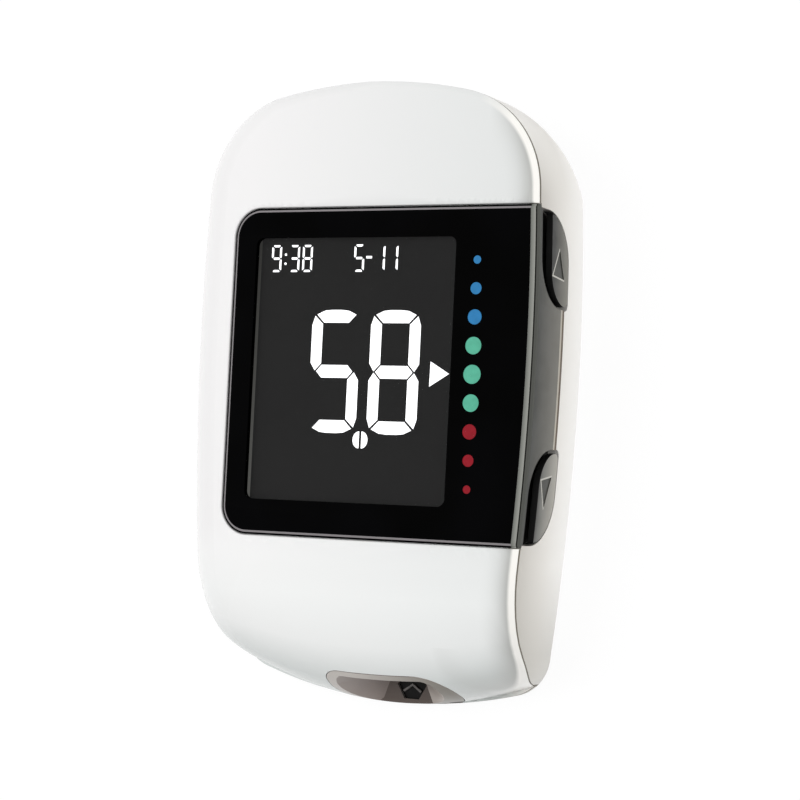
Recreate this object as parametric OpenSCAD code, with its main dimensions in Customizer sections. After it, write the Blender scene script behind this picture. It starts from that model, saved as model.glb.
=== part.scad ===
// Blood glucose meter, lying on its back: +Z out of the display, +Y towards the USB end,
// +X towards the two side buttons. The origin is the middle of the back face.

/* [Body] */
// Length of the body along Y
body_length = 77.1; // [74:0.1:82]
// Width of the body across the side walls
body_width = 48.6; // [48:0.1:54]
// Thickness of the body, back face to front face
body_thickness = 15.3; // [15:0.1:18]
// Radius of the gently arched top end
top_arc_r = 65; // [50:1:90]
// Radius of the two top corners, seen from the front
top_corner_r = 13; // [10:0.5:15]
// Radius of the bowed side walls
side_arc_r = 345; // [250:5:600]
// Height above the middle at which the body is widest
side_widest_y = 7.7; // [0:0.1:12]
// Radius of the arched bottom end
bottom_arc_r = 62; // [45:1:90]
// Radius of the two bottom corners, seen from the front
bottom_corner_r = 6; // [5.5:0.1:8]
// How far the lowest point of the bottom end lies to the right of the middle
bottom_apex_x = 1.8; // [0:0.1:4]

/* [Edges of the body] */
// Width of the narrow rolled edge along the front face
edge_roll_w = 1; // [0.6:0.05:1.4]
// Depth of that narrow rolled edge
edge_roll_h = 0.35; // [0.2:0.05:0.6]
// Radius of the soft roll down the left side of the front face
left_roll = 4.5; // [2:0.1:5]
// Length of the roll in which the front face falls to the bottom end
chin_length = 17.95; // [16:0.05:18.5]
// Radius of the arc in which that roll reaches the bottom end
chin_arc_r = 50; // [42:1:70]
// Height that is left of the front cover at the bottom end
chin_lip = 1.6; // [1.55:0.05:1.9]
// Rounding of the back edge along the sides
back_roll_side = 1.9; // [1:0.1:2.4]
// Rounding of the back edge at the top end
back_roll_top = 9.8; // [6:0.1:10.5]
// Rounding of the back edge at the bottom end
back_roll_bottom = 0.4; // [0.3:0.05:0.5]

/* [Shells] */
// Wall of the rear case
case_wall = 1.5; // [1.2:0.05:1.8]
// Floor of the rear case
case_floor = 1.2; // [1:0.05:1.3]
// Wall of the front cover
cover_wall = 1.3; // [1:0.05:1.5]
// Visible seam between the front cover and the rear case
seam_gap = 0.08; // [0.05:0.01:0.12]
// Thickness of the skirt with which the cover slips inside the case
skirt_t = 1; // [0.7:0.05:1.2]
// How far the skirt reaches into the case
skirt_depth = 2; // [1:0.1:2.5]
// Clearance between pieces that slip into each other
fit = 0.1; // [0.06:0.01:0.14]
// Width of a snap hook
hook_w = 4; // [3:0.1:6]
// How far a snap hook stands out of the skirt
hook_reach = 0.5; // [0.3:0.05:0.7]

/* [Window] */
// White border between the left side of the body and the window
window_border = 6.3; // [5.5:0.1:7]
// White border between the top end of the body and the window
window_top_border = 15.55; // [15.2:0.05:16]
// White border between the bottom end of the body and the window
window_low_border = 20.35; // [20:0.05:20.8]
// Radius of the window's two left corners
window_corner_r = 3.7; // [1:0.1:5]
// Thickness of the window
window_t = 0.8; // [0.6:0.05:1]
// Thickness of the cover's ledge under the window
ledge_t = 1.3; // [1:0.05:1.5]

/* [Display] */
// Black margin between the window's left edge and the display glass
display_margin = 2.3; // [1.9:0.1:2.6]
// Room for switches and marks between the display glass and the right side of the body
display_clear = 10; // [9.8:0.1:10.6]
// Black margin between the window's lower edge and the display glass
display_low_margin = 3.15; // [2.9:0.05:3.5]
// Black margin between the window's upper edge and the display glass
display_top_margin = 2.45; // [2.2:0.05:2.8]
// Thickness of the display glass
display_t = 1.8; // [1.4:0.1:2]
// Air between the display glass and the window
display_air = 0.15; // [0.1:0.01:0.25]
// Thickness of the light guide behind the display
guide_t = 1.5; // [1:0.1:2]
// Wall of the frame that carries the display
frame_wall = 1.2; // [0.8:0.1:1.3]
// Depth of the strip of the display glass that the elastomer connector feeds
contact_ledge = 3.4; // [3:0.1:4]

/* [Range marks] */
// Number of coloured marks beside the display
mark_count = 9; // [9]
// Distance of the outer marks from the window's ends
mark_margin = 6.772; // [6:0.01:7.4]
// Distance of the row of marks from the right side of the body
mark_inset = 8.52; // [8.1:0.01:8.7]
// Diameter of the largest mark, in the middle of the row
mark_d_middle = 2.3; // [2:0.05:2.5]
// Diameter of the smallest marks, at the ends of the row
mark_d_end = 1; // [0.8:0.05:1.2]
// Thickness of a mark
mark_t = 0.1; // [0.06:0.01:0.12]

/* [Side band and buttons] */
// Height of the band's rear edge between the buttons
band_z = 7.1; // [6.8:0.1:7.6]
// Thickness of the band insert
band_t = 2.4; // [2.2:0.1:2.6]
// Depth of the wells in which the buttons lie
well_depth = 1.3; // [0.9:0.1:1.5]
// Height of the wells' front edge
well_front_z = 14.1; // [13.8:0.1:14.2]
// Height of the wells' and buttons' rear edge
well_back_z = 6.15; // [6:0.05:6.5]
// Length of a well along the side wall
well_length = 11.6; // [10.6:0.1:12]
// Border between the wells' far ends and the window's ends
well_border = 0.5; // [0.4:0.05:1]
// Large corner radius of a well
well_r = 6; // [4:0.1:6.2]
// Width of the groove between a button and the front edge of its well
groove_w = 3; // [2:0.1:3.2]
// Clearance round a button in its well
button_gap = 0.12; // [0.1:0.01:0.2]
// Thickness of a button's face
button_t = 0.8; // [0.6:0.05:0.8]
// How far a button can be pressed
button_travel = 0.45; // [0.3:0.05:0.6]
// Depth of the triangle engraved in a button
engraving = 0.12; // [0.05:0.01:0.2]
// Size of the flange that keeps a button from falling out
flange_w = 0.6; // [0.4:0.05:0.7]
// Thickness of that flange
flange_t = 0.7; // [0.5:0.05:0.8]
// Length of the rubber plunger between a button and its switch
plunger_length = 0.8; // [0.5:0.05:1]

/* [Board] */
// Thickness of the circuit board
board_t = 1; // [0.8:0.1:1.2]
// Gap between the board's edge and the case wall
board_gap = 1.4; // [1.3:0.05:1.6]
// Gap between the bottom end of the body and the board's tongue
board_low_gap = 5.55; // [5.35:0.05:6]
// Gap between the top end of the body and the board
board_high_gap = 3.55; // [3.2:0.05:4]
// Width of the board's tongue under the strip connector
board_tongue_w = 17; // [14:0.5:18]
// Distance of the board's shoulders from the bottom end of the body
board_shoulder = 10.5; // [10.3:0.1:12]
// Width of the microcontroller
micro_w = 7; // [6:0.5:8]
// Width of the radio module
radio_w = 9; // [8:0.5:9.5]
// Length of the radio module
radio_length = 8; // [7:0.5:8.5]
// Diameter of the sounder
sounder_d = 8.5; // [7:0.5:9]

/* [Batteries] */
// Diameter of a coin cell
cell_d = 20; // [20]
// Thickness of a coin cell
cell_t = 3.2; // [3.2]
// Distance of each cell's middle from the middle of the body
cell_x = 10.5; // [10.45:0.05:10.7]
// Distance of the cells' middle from the bottom end of the body
cell_place = 31.55; // [30.5:0.05:32.5]
// Radial clearance of a cell in its pocket
cell_fit = 0.25; // [0.15:0.05:0.25]
// Space for the contact springs over the cells
contact_space = 0.6; // [0.5:0.05:0.8]
// Wall round each cell pocket
pocket_wall = 1; // [0.8:0.05:1.1]
// Roof over the cell pockets, on which the board lies
pocket_roof = 0.8; // [0.6:0.05:1]
// Width of the battery door
door_w = 41.8; // [41.4:0.1:42.2]
// Length of the battery door
door_length = 26; // [25.6:0.1:27]
// Radius of the battery door's corners
door_corner_r = 4; // [2:0.5:6]
// How far the battery door opens, in degrees
door_angle = 70; // [30:5:80]

/* [Strip port] */
// Middle of the strip port across the body
port_x = 3; // [2:0.1:3.4]
// How far the bezel's middle lies to the left of the slot
bezel_shift = 0.5; // [0:0.1:0.8]
// Width of the port's bezel
port_w = 18.9; // [17.6:0.1:19.4]
// Radius of the bezel's rounded ends
port_end_r = 4.95; // [4.4:0.05:5.1]
// Height of the bezel's top edge on the rolled face
port_top_z = 9.94; // [9.6:0.02:10]
// Rim of the bezel round the funnel
port_rim = 0.95; // [0.7:0.05:1.2]
// Height of the funnel's floor
funnel_floor_z = 2.6; // [2.5:0.05:2.8]
// Size of the six-sided recess in the funnel's floor
recess_d = 4; // [3.6:0.1:4.1]
// Depth of that recess
recess_depth = 0.45; // [0.3:0.05:0.5]
// Width of the slot for a test strip
slot_w = 7.2; // [6.6:0.1:8]
// Height of the slot for a test strip
slot_h = 0.9; // [0.7:0.05:1.1]
// Height of the floor on which a strip lies
slot_z = 7.5; // [7.4:0.05:7.6]
// Length of the connector that takes the strip
connector_length = 4.6; // [4:0.1:5]
// Number of contact springs in the connector
contact_count = 4; // [2:1:4]

/* [Strip ejector] */
// Distance of the thumb piece's middle from the bottom end of the body
ejector_place = 28.55; // [28:0.05:29.5]
// Length of the thumb piece
ejector_length = 8; // [6:0.1:9]
// Height of the thumb piece on the side wall
ejector_w = 2.8; // [2.4:0.1:2.8]
// Height of the thumb piece's middle above the back
ejector_z = 7.7; // [7.6:0.05:7.8]
// How far the thumb piece stands out of the side wall
ejector_proud = 0.2; // [0.1:0.05:0.25]
// How far the ejector slides towards the strip port
ejector_travel = 3.5; // [2:0.1:3.6]

/* [USB socket] */
// Width of the socket's shell
usb_w = 7.5; // [7.5]
// Height of the socket's shell
usb_h = 2.6; // [2.6]
// Length of the socket's shell
usb_length = 5.6; // [5:0.1:6]

/* [Fasteners] */
// Diameter of the case screws
screw_d = 1.6; // [1.4:0.1:2]
// Length of the case screws under the head
screw_length = 6.5; // [5:0.1:7]
// Diameter of the screw heads
screw_head_d = 3; // [2.6:0.1:3.2]

/* [Hidden] */

white = [0.93, 0.94, 0.95];
warm_white = [0.88, 0.87, 0.84];
dark_glass = [0.03, 0.03, 0.035];
dark_plastic = [0.25, 0.26, 0.27];

// ---- the outline of the body, seen from the front ----

top_y = body_length / 2;
bottom_y = -body_length / 2;
chin_start_y = bottom_y + chin_length;
top_centre = [0, top_y - top_arc_r];
bottom_centre = [bottom_apex_x, bottom_y + bottom_arc_r];
right_centre = [body_width / 2 - side_arc_r, side_widest_y];
left_centre = [side_arc_r - body_width / 2, side_widest_y];

// The point at distance ra from a and rb from b, to the left (side 1) or right (-1) of a to b
function meet(a, ra, b, rb, side) =
  let (d = norm(b - a), e = (b - a) / d, s = (ra * ra - rb * rb + d * d) / (2 * d))
  a + s * e + side * sqrt(ra * ra - s * s) * [-e.y, e.x];

// The centre of a corner of radius r that is tangent inside an end arc and a side arc
function corner(end_c, end_r, side_c, r, side) = meet(end_c, end_r - r, side_c, side_arc_r - r, side);

top_left = corner(top_centre, top_arc_r, left_centre, top_corner_r, 1);
top_right = corner(top_centre, top_arc_r, right_centre, top_corner_r, -1);
bottom_left = corner(bottom_centre, bottom_arc_r, left_centre, bottom_corner_r, -1);
bottom_right = corner(bottom_centre, bottom_arc_r, right_centre, bottom_corner_r, 1);

// Direction from a to b in degrees, counted from 90 at the top round to 450
function heading(a, b) = let (h = atan2(b.y - a.y, b.x - a.x)) h < 90 ? h + 360 : h;

// Each arc: centre, radius, first and last heading, steps, and how the steps crowd to one end
ARCS = [
  [top_centre, top_arc_r, 90, heading(top_centre, top_left), 6, 1],
  [top_left, top_corner_r, heading(top_centre, top_left), heading(left_centre, top_left), 8, 1],
  [left_centre, side_arc_r, heading(left_centre, top_left), heading(left_centre, bottom_left), 11, -1.4],
  [bottom_left, bottom_corner_r, heading(left_centre, bottom_left),
    heading(bottom_centre, bottom_left), 8, 1],
  [bottom_centre, bottom_arc_r, heading(bottom_centre, bottom_left),
    heading(bottom_centre, bottom_right), 12, 1],
  [bottom_right, bottom_corner_r, heading(bottom_centre, bottom_right),
    heading(right_centre, bottom_right), 8, 1],
  [right_centre, side_arc_r, heading(right_centre, bottom_right),
    heading(right_centre, top_right), 11, 1.4],
  [top_right, top_corner_r, heading(right_centre, top_right), heading(top_centre, top_right), 8, 1],
  [top_centre, top_arc_r, heading(top_centre, top_right), 450, 6, 1]];

function crowd(t, e) = e > 0 ? pow(t, e) : 1 - pow(1 - t, -e);

// The stations round the outline: arc centre, arc radius and heading of each
STATIONS = [for (k = ARCS) for (i = [0:k[4] - 1])
  [k[0], k[1], k[2] + (k[3] - k[2]) * crowd(i / k[4], k[5])]];

function outward(s) = [cos(s[2]), sin(s[2])];
function place(s, inset) = s[0] + (s[1] - inset) * outward(s);
function outline(inset) = [for (s = STATIONS) place(s, inset)];
// Half the body's width at a place along it
function side_x(y) = sqrt(side_arc_r * side_arc_r - pow(y - side_widest_y, 2)) + body_width / 2 - side_arc_r;

// ---- the moulded surfaces of the two shells ----

function left_share(h) = pow(max(0, -cos(h)), 0.7);
function roll_w(h) = edge_roll_w + (left_roll - edge_roll_w) * left_share(h);
function roll_h(h, z) = (edge_roll_h + (left_roll - edge_roll_h) * left_share(h))
  * (z - chin_lip * 0.8) / (body_thickness - chin_lip * 0.8);

// The arc along which the rolled chin reaches the bottom end, and the front face above a point
function chin_end(x) = bottom_y + chin_arc_r - sqrt(chin_arc_r * chin_arc_r - pow(x - bottom_apex_x, 2));
function face_z(p) =
  let (t = min(1, max(0, (chin_start_y - p.y) / (chin_start_y - chin_end(p.x)))))
  chin_lip + (body_thickness - chin_lip) * sqrt(1 - t * t);
function under_z(p) = face_z([p.x, p.y - 0.8 * cover_wall]) - cover_wall;

function skin_z(s, inset) =
  let (z = face_z(place(s, inset)), r = max(0, 1 - inset / roll_w(s[2])))
  z - roll_h(s[2], z) * (1 - sqrt(1 - r * r));
function edge_z(s) = skin_z(s, 0);
function back_roll(h) = back_roll_side + (back_roll_top - back_roll_side) * max(0, sin(h))
  + (back_roll_bottom - back_roll_side) * max(0, -sin(h));
function skirt_drop(s) = 0.08 + skirt_depth * min(1, max(0, (edge_z(s) - 5) / 6));

ROLL_STEPS = 6;
// Shares of the way from the hub of the face out to its edge roll
FACE_STEPS = [0.97, 0.93, 0.87, 0.79, 0.69, 0.56, 0.4];
HUB = [0, 6];
function lift(p, z) = [p.x, p.y, z];
function towards_hub(s, inset, f) = HUB + f * (place(s, inset) - HUB);

// The rings of the front face, from the seam edge inwards
FRONT_RINGS = concat(
  [for (k = [0:ROLL_STEPS]) [for (s = STATIONS) let (d = roll_w(s[2]) * (1 - cos(90 * k / ROLL_STEPS)))
    lift(place(s, d), skin_z(s, d))]],
  [for (f = FACE_STEPS) [for (s = STATIONS) let (p = towards_hub(s, roll_w(s[2]), f)) lift(p, face_z(p))]]);

// The rings of the cover's underside, from its inner face out to the seam edge
skirt_inset = case_wall + fit;
UNDER_RINGS = concat(
  [for (f = [0.4, 0.6, 0.76, 0.88, 0.96]) [for (s = STATIONS)
    let (p = towards_hub(s, max(skirt_inset + skirt_t, roll_w(s[2])), f)) lift(p, under_z(p))]],
  [[for (s = STATIONS) let (p = place(s, skirt_inset + skirt_t))
    lift(p, under_z(p) + skin_z(s, skirt_inset + skirt_t) - face_z(p))]],
  [[for (s = STATIONS) lift(place(s, skirt_inset + skirt_t), edge_z(s) - skirt_drop(s))]],
  [[for (s = STATIONS) lift(place(s, skirt_inset), edge_z(s) - skirt_drop(s))]],
  [[for (s = STATIONS) lift(place(s, skirt_inset), edge_z(s))]]);

// The rings of the rear case, from its back face round the rim to its inner floor
CASE_RINGS = concat(
  [for (k = [0:ROLL_STEPS]) [for (s = STATIONS) let (r = back_roll(s[2]))
    lift(place(s, r * (1 - sin(90 * k / ROLL_STEPS))), r * (1 - cos(90 * k / ROLL_STEPS)))]],
  [[for (s = STATIONS) lift(place(s, 0), edge_z(s) - seam_gap)]],
  [[for (s = STATIONS) lift(place(s, case_wall), edge_z(s) - seam_gap)]],
  [for (k = [4:-1:0]) [for (s = STATIONS) let (r = max(back_roll(s[2]) - case_wall, 0.1))
    lift(place(s, case_wall + r * (1 - sin(90 * k / 4))), case_floor + r * (1 - cos(90 * k / 4)))]]);

// A closed solid from a list of rings of equal count, the first and last of them flat
module loft(rings) {
  n = len(rings[0]);
  m = len(rings);
  polyhedron(
    points = [for (r = rings) each r],
    faces = concat(
      [[for (i = [0:n - 1]) i]],
      [for (j = [0:m - 2]) for (i = [0:n - 1]) let (a = j * n + i, b = j * n + (i + 1) % n)
        each [[a, a + n, b], [b, a + n, b + n]]],
      [[for (i = [n - 1:-1:0]) (m - 1) * n + i]]));
}

module envelope(base_z)
  loft(concat([[for (s = STATIONS) lift(place(s, 0), base_z)]], FRONT_RINGS));

// ---- small helpers ----

module rounded(w, l, r) {
  for (x = [-1, 1]) for (y = [-1, 1]) translate([x * (w / 2 - r), y * (l / 2 - r)]) circle(r, $fn = 32);
  square([w - 2 * r, l], center = true);
  square([w, l - 2 * r], center = true);
}
module block(low, high) translate(low) cube(high - low);
module bore(x, y, z0, z1, d) translate([x, y, z0]) cylinder(d = d, h = z1 - z0, $fn = 48);

// ---- heights and places that follow from the sizes ----

window_length = body_length - window_top_border - window_low_border;
window_y = bottom_y + window_low_border + window_length / 2;
window_left = window_border - body_width / 2;
display_length = window_length - display_low_margin - display_top_margin;
display_y = window_y + (display_low_margin - display_top_margin) / 2;
display_w = body_width / 2 - display_clear - window_left - display_margin;
display_x = window_left + display_margin + display_w / 2;
mark_x = body_width / 2 - mark_inset;
mark_pitch = (window_length - 2 * mark_margin) / (mark_count - 1);
well_end = window_length / 2 - well_border;
well_tip = well_end - well_length;
cell_y = bottom_y + cell_place;
ejector_y = bottom_y + ejector_place;
board_bottom_y = bottom_y + board_low_gap;
board_top_y = top_y - board_high_gap;
window_back_z = body_thickness - window_t;
ledge_back_z = window_back_z - ledge_t;
display_top_z = window_back_z - display_air;
guide_top_z = display_top_z - display_t;
guide_back_z = guide_top_z - guide_t;
cell_back_z = case_floor + 0.2;
cell_top_z = cell_back_z + cell_t;
roof_back_z = cell_top_z + contact_space;
board_back_z = roof_back_z + pocket_roof;
board_top_z = board_back_z + board_t;
pocket_r = cell_d / 2 + cell_fit;
window_low_y = window_y - window_length / 2;
window_high_y = window_y + window_length / 2;
right_x = body_width / 2;
display_low_y = display_y - display_length / 2;
frame_w = display_w + 2 * frame_wall + 2 * fit;
frame_length = display_length + 2 * frame_wall + 2 * fit;
shelf_t = 1;
screw_reach = 10.6;
SCREW_Y = [cell_y + screw_reach, cell_y - screw_reach];
screw_head_z = case_floor + 2.2;
connector_top_z = slot_z + slot_h + 1.4;
mouth_y = bottom_y + 4.75;
connector_front_y = mouth_y + 2;
connector_back_y = connector_front_y + connector_length;
contact_pitch = 1.2;
ejector_tilt = asin((side_widest_y - ejector_y) / side_arc_r);
ejector_cover = 8.6;
spring_r = 0.65;
spring_pitch = 0.7;
spring_turns = 8;
spring_end = ejector_cover + 0.35 + spring_pitch * spring_turns;
usb_z = board_top_z + usb_h / 2;

// ---- the window, the side band and what lies round them ----

// The window's outline, reaching past the right side of the body
module window_outline(grow) {
  r = window_corner_r + grow;
  w = right_x + 2 - window_left + grow;
  translate([window_left - grow, window_y]) intersection() {
    translate([w / 2 + r, 0]) rounded(w + 2 * r, window_length + 2 * grow, r);
    translate([w / 2, 0]) square([w, window_length + 2 * grow], center = true);
  }
}

// A slab that follows the bowed right side, from an inset to a deeper one, between two heights
module side_slab(from, to, z0, z1)
  translate(right_centre) rotate([0, 0, -8])
    rotate_extrude(angle = 16, $fn = 360)
      translate([side_arc_r - to, z0]) square([to - from, z1 - z0]);

// A well's or button's outline on the side wall: distance from the band's middle, and height.
// Its front inner and rear outer corners are widely rounded, by front_r and back_r.
module leaf(tip, end, back_z, front_z, front_r, back_r) difference() {
  translate([tip, back_z]) square([end - tip, front_z - back_z]);
  corner_waste(tip, front_z, front_r, 1, -1);
  corner_waste(end, back_z, back_r, -1, 1);
  corner_waste(tip, back_z, 1, 1, 1);
}
// What rounding takes off a corner at (x, z) whose inside lies towards (dx, dz)
module corner_waste(x, z, r, dx, dz) translate([x, z]) scale([dx, dz]) difference() {
  translate([-1, -1]) square(r + 1);
  translate([r, r]) circle(r, $fn = 96);
}
module well_leaf(grow)
  leaf(well_tip - grow, well_end + grow, well_back_z - grow, well_front_z + grow,
    well_r + grow, well_r + grow);
module button_leaf()
  leaf(well_tip + 0.4, well_end - button_gap, well_back_z + button_gap, well_front_z - groove_w,
    button_r, well_r - button_gap);
button_r = (well_front_z - groove_w - well_back_z) * 0.86;

// Raises a drawing on the right side wall; side 1 is towards the USB end, -1 towards the strip port
module on_side(side) translate([right_x - 5, window_y, 0]) scale([1, side, 1])
  rotate([90, 0, 90]) linear_extrude(8) children();

module band_outline(grow) difference() {
  translate([-well_end - grow, band_z - grow])
    square([2 * (well_end + grow), body_thickness - band_z + 2 * grow]);
  for (side = [-1, 1]) scale([side, 1])
    corner_waste(well_end + grow, well_back_z - grow, well_r + grow, -1, 1);
}
module band_cut() {
  on_side(1) band_outline(fit);
  for (side = [-1, 1]) on_side(side) well_leaf(fit);
}

// ---- the snap hooks of the cover, and the openings that both shells share ----

// Where the snap hooks sit: side of the body and place along it
HOOKS = [[-1, top_y - 11.55], [-1, ejector_y + 22], [-1, bottom_y + 12.55], [1, top_y - 11.05],
  [1, bottom_y + 15.55]];
function hook_z(h) =
  let (z = face_z([h[0] * side_x(h[1]), h[1]])) z - (h[0] < 0 ? left_roll : edge_roll_h) - 1.75;

module hook(h, grow)
  translate([h[0] * (side_x(h[1]) - skirt_inset), h[1] + hook_w / 2 + grow, hook_z(h)])
    scale([h[0], 1, 1]) rotate([90, 0, 0]) linear_extrude(hook_w + 2 * grow)
      polygon([[-0.4, -grow], [hook_reach + grow, -grow], [hook_reach + grow, 0.2 + grow], [-0.4, 1 + grow]]);

// The frame of the strip port: +Z out of the rolled chin, +Y up along it
module at_port() translate([port_x - bezel_shift, bottom_y + 3.88, port_top_z]) rotate([54, 0, 0]) children();
module port_outline(grow) {
  flat_w = port_w - 2 * port_end_r;
  for (x = [-1, 1]) translate([x * flat_w / 2, -port_end_r]) circle(port_end_r + grow, $fn = 120);
  translate([-flat_w / 2, -2 * port_end_r - grow]) square([flat_w, 2 * (port_end_r + grow)]);
}
module throat(grow) block([port_x - slot_w / 2 - 0.8 - grow, mouth_y - 1, board_top_z + fit],
  [port_x + slot_w / 2 + 0.8 + grow, connector_front_y - 0.05 + grow, slot_z + slot_h + 0.45 + grow]);
module port_prism(grow, from, to) at_port() translate([0, 0, from]) linear_extrude(to - from)
  port_outline(grow);

// The frame of the ejector: +X into the body, -Y the way it slides
module at_ejector() translate([-side_x(ejector_y), ejector_y, 0]) rotate([0, 0, ejector_tilt]) children();

// ---- the two shells ----

module front_cover() color(white) {
  difference() {
    union() {
      loft(concat(UNDER_RINGS, FRONT_RINGS));
      translate([0, 0, ledge_back_z]) linear_extrude(ledge_t) intersection() {
        window_outline(1.2);
        polygon(outline(skirt_inset));
      }
    }
    translate([0, 0, window_back_z]) linear_extrude(5) window_outline(0);
    translate([display_x, display_y, ledge_back_z - 1]) linear_extrude(ledge_t + 2)
      square([display_w + 0.6, display_length + 0.6], center = true);
    intersection() {
      side_slab(-2, band_t + 0.3, band_z, body_thickness + 1);
      band_cut();
    }
    port_prism(fit, -6.5, 6);
    throat(fit);
    // room for the ejector's cover plate behind the skirt
    at_ejector() block([0.5, -ejector_cover - ejector_travel - 0.5, board_back_z],
      [skirt_inset + skirt_t + 1, ejector_cover + 0.5, ejector_z + ejector_w / 2 + 1.1]);
  }
  for (h = HOOKS) hook(h, 0);
}

module pocket(x, r, z0, z1) translate([x, cell_y, z0]) cylinder(r = r, h = z1 - z0, $fn = 96);
module door_outline(grow) translate([0, cell_y])
  rounded(door_w + 2 * grow, door_length + 2 * grow, door_corner_r + grow);

module rear_case() color(warm_white) {
  difference() {
    union() {
      loft(CASE_RINGS);
      for (x = [-cell_x, cell_x]) pocket(x, pocket_r + pocket_wall, case_floor / 2, board_back_z);
      for (y = SCREW_Y) bore(0, y, case_floor / 2, board_back_z, screw_head_d + 2);
      // the post that holds the far end of the ejector's spring
      at_ejector() block([case_wall - 0.5, spring_end, board_top_z + fit],
        [case_wall + 2, spring_end + 1, board_top_z + 0.85 + spring_r]);
      // the web that joins the pockets and the screw bosses
      block([-1.2, SCREW_Y[1], case_floor / 2], [1.2, SCREW_Y[0], board_back_z]);
    }
    for (x = [-cell_x, cell_x]) {
      pocket(x, pocket_r, case_floor - 0.01, roof_back_z);
      // the roofs are open for the contact springs and the rim contacts
      block([x - 2, cell_y - 4, roof_back_z - 1], [x + 2, cell_y + 4, board_back_z + 1]);
      block([x - 1.8, cell_y + cell_d / 2 - 0.2, case_floor],
        [x + 1.8, cell_y + cell_d / 2 + 0.6, board_back_z + 1]);
    }
    translate([0, 0, -1]) linear_extrude(case_floor + 1) door_outline(fit);
    // the window reaches over the wall's rim a little beyond the band
    translate([0, 0, window_back_z - fit]) linear_extrude(5) window_outline(fit);
    for (y = SCREW_Y) {
      bore(0, y, -1, board_back_z + 1, screw_d + 0.3);
      bore(0, y, -1, screw_head_z, screw_head_d + 0.4);
    }
    // a thumb recess at the door's latch
    translate([0, cell_y + door_length / 2 + 1.2, -0.6]) rotate([0, 90, 0])
      cylinder(r = 1.4, h = 10, center = true, $fn = 48);
    band_cut();
    for (h = HOOKS) hook(h, 0.12);
    at_ejector() block([-1, -ejector_length / 2 - ejector_travel - 0.2, ejector_z - ejector_w / 2 - fit],
      [case_wall + 0.5, ejector_length / 2 + 0.2, ejector_z + ejector_w / 2 + fit]);
    translate([0, top_y - 4, usb_z]) rotate([-90, 0, 0]) linear_extrude(6)
      rounded(usb_w + 1, usb_h + 0.8, 0.8);
  }
}

// ---- the window and the marks in it ----

// Places and diameters of the range marks
function mark_y(i) = window_y + 0.1 + mark_pitch * ((mark_count - 1) / 2 - i);
function mark_d(i) = let (t = abs(i - (mark_count - 1) / 2) / ((mark_count - 1) / 2))
  mark_d_middle - (mark_d_middle - mark_d_end) * (0.45 * t + 0.55 * t * t);

module display_window() color(dark_glass) difference() {
  intersection() {
    translate([0, 0, window_back_z]) linear_extrude(window_t) window_outline(-fit);
    // a turned blank whose edge rolls over like the rest of the front face
    translate(right_centre) rotate([0, 0, -10]) rotate_extrude(angle = 20, $fn = 360)
      translate([side_arc_r, 0]) polygon(concat(
        [[-50, body_thickness], [-50, window_back_z], [0, window_back_z]],
        [for (k = [0:ROLL_STEPS]) let (a = 90 * k / ROLL_STEPS)
          [-edge_roll_w * (1 - cos(a)), body_thickness - edge_roll_h * (1 - sin(a))]]));
  }
  for (i = [0:mark_count - 1]) bore(mark_x, mark_y(i), window_back_z - 1, window_back_z + mark_t, mark_d(i));
}

module range_marks() color([0.3, 0.6, 0.5])
  for (i = [0:mark_count - 1]) bore(mark_x, mark_y(i), window_back_z, window_back_z + mark_t, mark_d(i));

// ---- the side insert, the buttons and their switches ----

stem_length = 6.4;
stem_height = 2.2;
stem_v = well_end - 5.7;
stem_z = well_back_z + button_gap + 2.65;
module stem_outline(grow) translate([stem_v, stem_z])
  rounded(stem_length + 2 * grow, stem_height + 2 * grow, 0.6 + grow);
flange_inset = band_t + 0.08;
plunger_inset = flange_inset + flange_t;
nub_inset = plunger_inset + plunger_length + button_travel + 0.03;
nub_length = 0.5;
switch_depth = 2.8;
function stem_x(side) = side_x(window_y + side * stem_v);
function stem_y(side) = window_y + side * stem_v;

module side_insert() color(dark_plastic) difference() {
  intersection() {
    side_slab(0, band_t, well_back_z - 1, window_back_z);
    union() {
      on_side(1) band_outline(0);
      for (side = [-1, 1]) on_side(side) well_leaf(0);
    }
  }
  for (side = [-1, 1]) {
    intersection() {
      side_slab(-2, well_depth, well_back_z - 1, well_front_z + 0.01);
      on_side(side) union() {
        well_leaf(0);
        translate([well_end - 1, well_back_z - 1]) square([3, well_front_z - well_back_z + 1]);
      }
    }
    on_side(side) stem_outline(button_gap);
  }
}

// Engraved triangles: distance from the middle of the button's stem, and height
function triangle(side) = side > 0
  ? [[1.3, stem_z - 0.12], [-1.9, stem_z + 1.73], [-2.2, stem_z - 1.52]]
  : [[1.2, stem_z + 0.28], [-2.1, stem_z + 1.68], [-2.6, stem_z - 1.22]];
module button(side) color([0.45, 0.47, 0.48]) {
  difference() {
    intersection() {
      side_slab(0, button_t, well_back_z, well_front_z);
      on_side(side) button_leaf();
    }
    intersection() {
      side_slab(-2, engraving, well_back_z, well_front_z);
      on_side(side) translate([stem_v, 0]) polygon(triangle(side));
    }
  }
  intersection() {
    side_slab(button_t / 2, flange_inset + 0.1, 0, body_thickness);
    on_side(side) stem_outline(0);
  }
  intersection() {
    side_slab(flange_inset, plunger_inset, board_top_z + 0.1, body_thickness);
    on_side(side) stem_outline(flange_w);
  }
}
module up_button() button(1);
module down_button() button(-1);

module plunger(side) color([0.2, 0.2, 0.2]) difference() {
  translate([stem_x(side) - plunger_inset - plunger_length, stem_y(side), stem_z]) rotate([0, 90, 0])
    cylinder(d = 1.8, h = plunger_length + 0.5, $fn = 40);
  side_slab(-2, plunger_inset, 0, body_thickness);
}
module up_plunger() plunger(1);
module down_plunger() plunger(-1);

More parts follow.
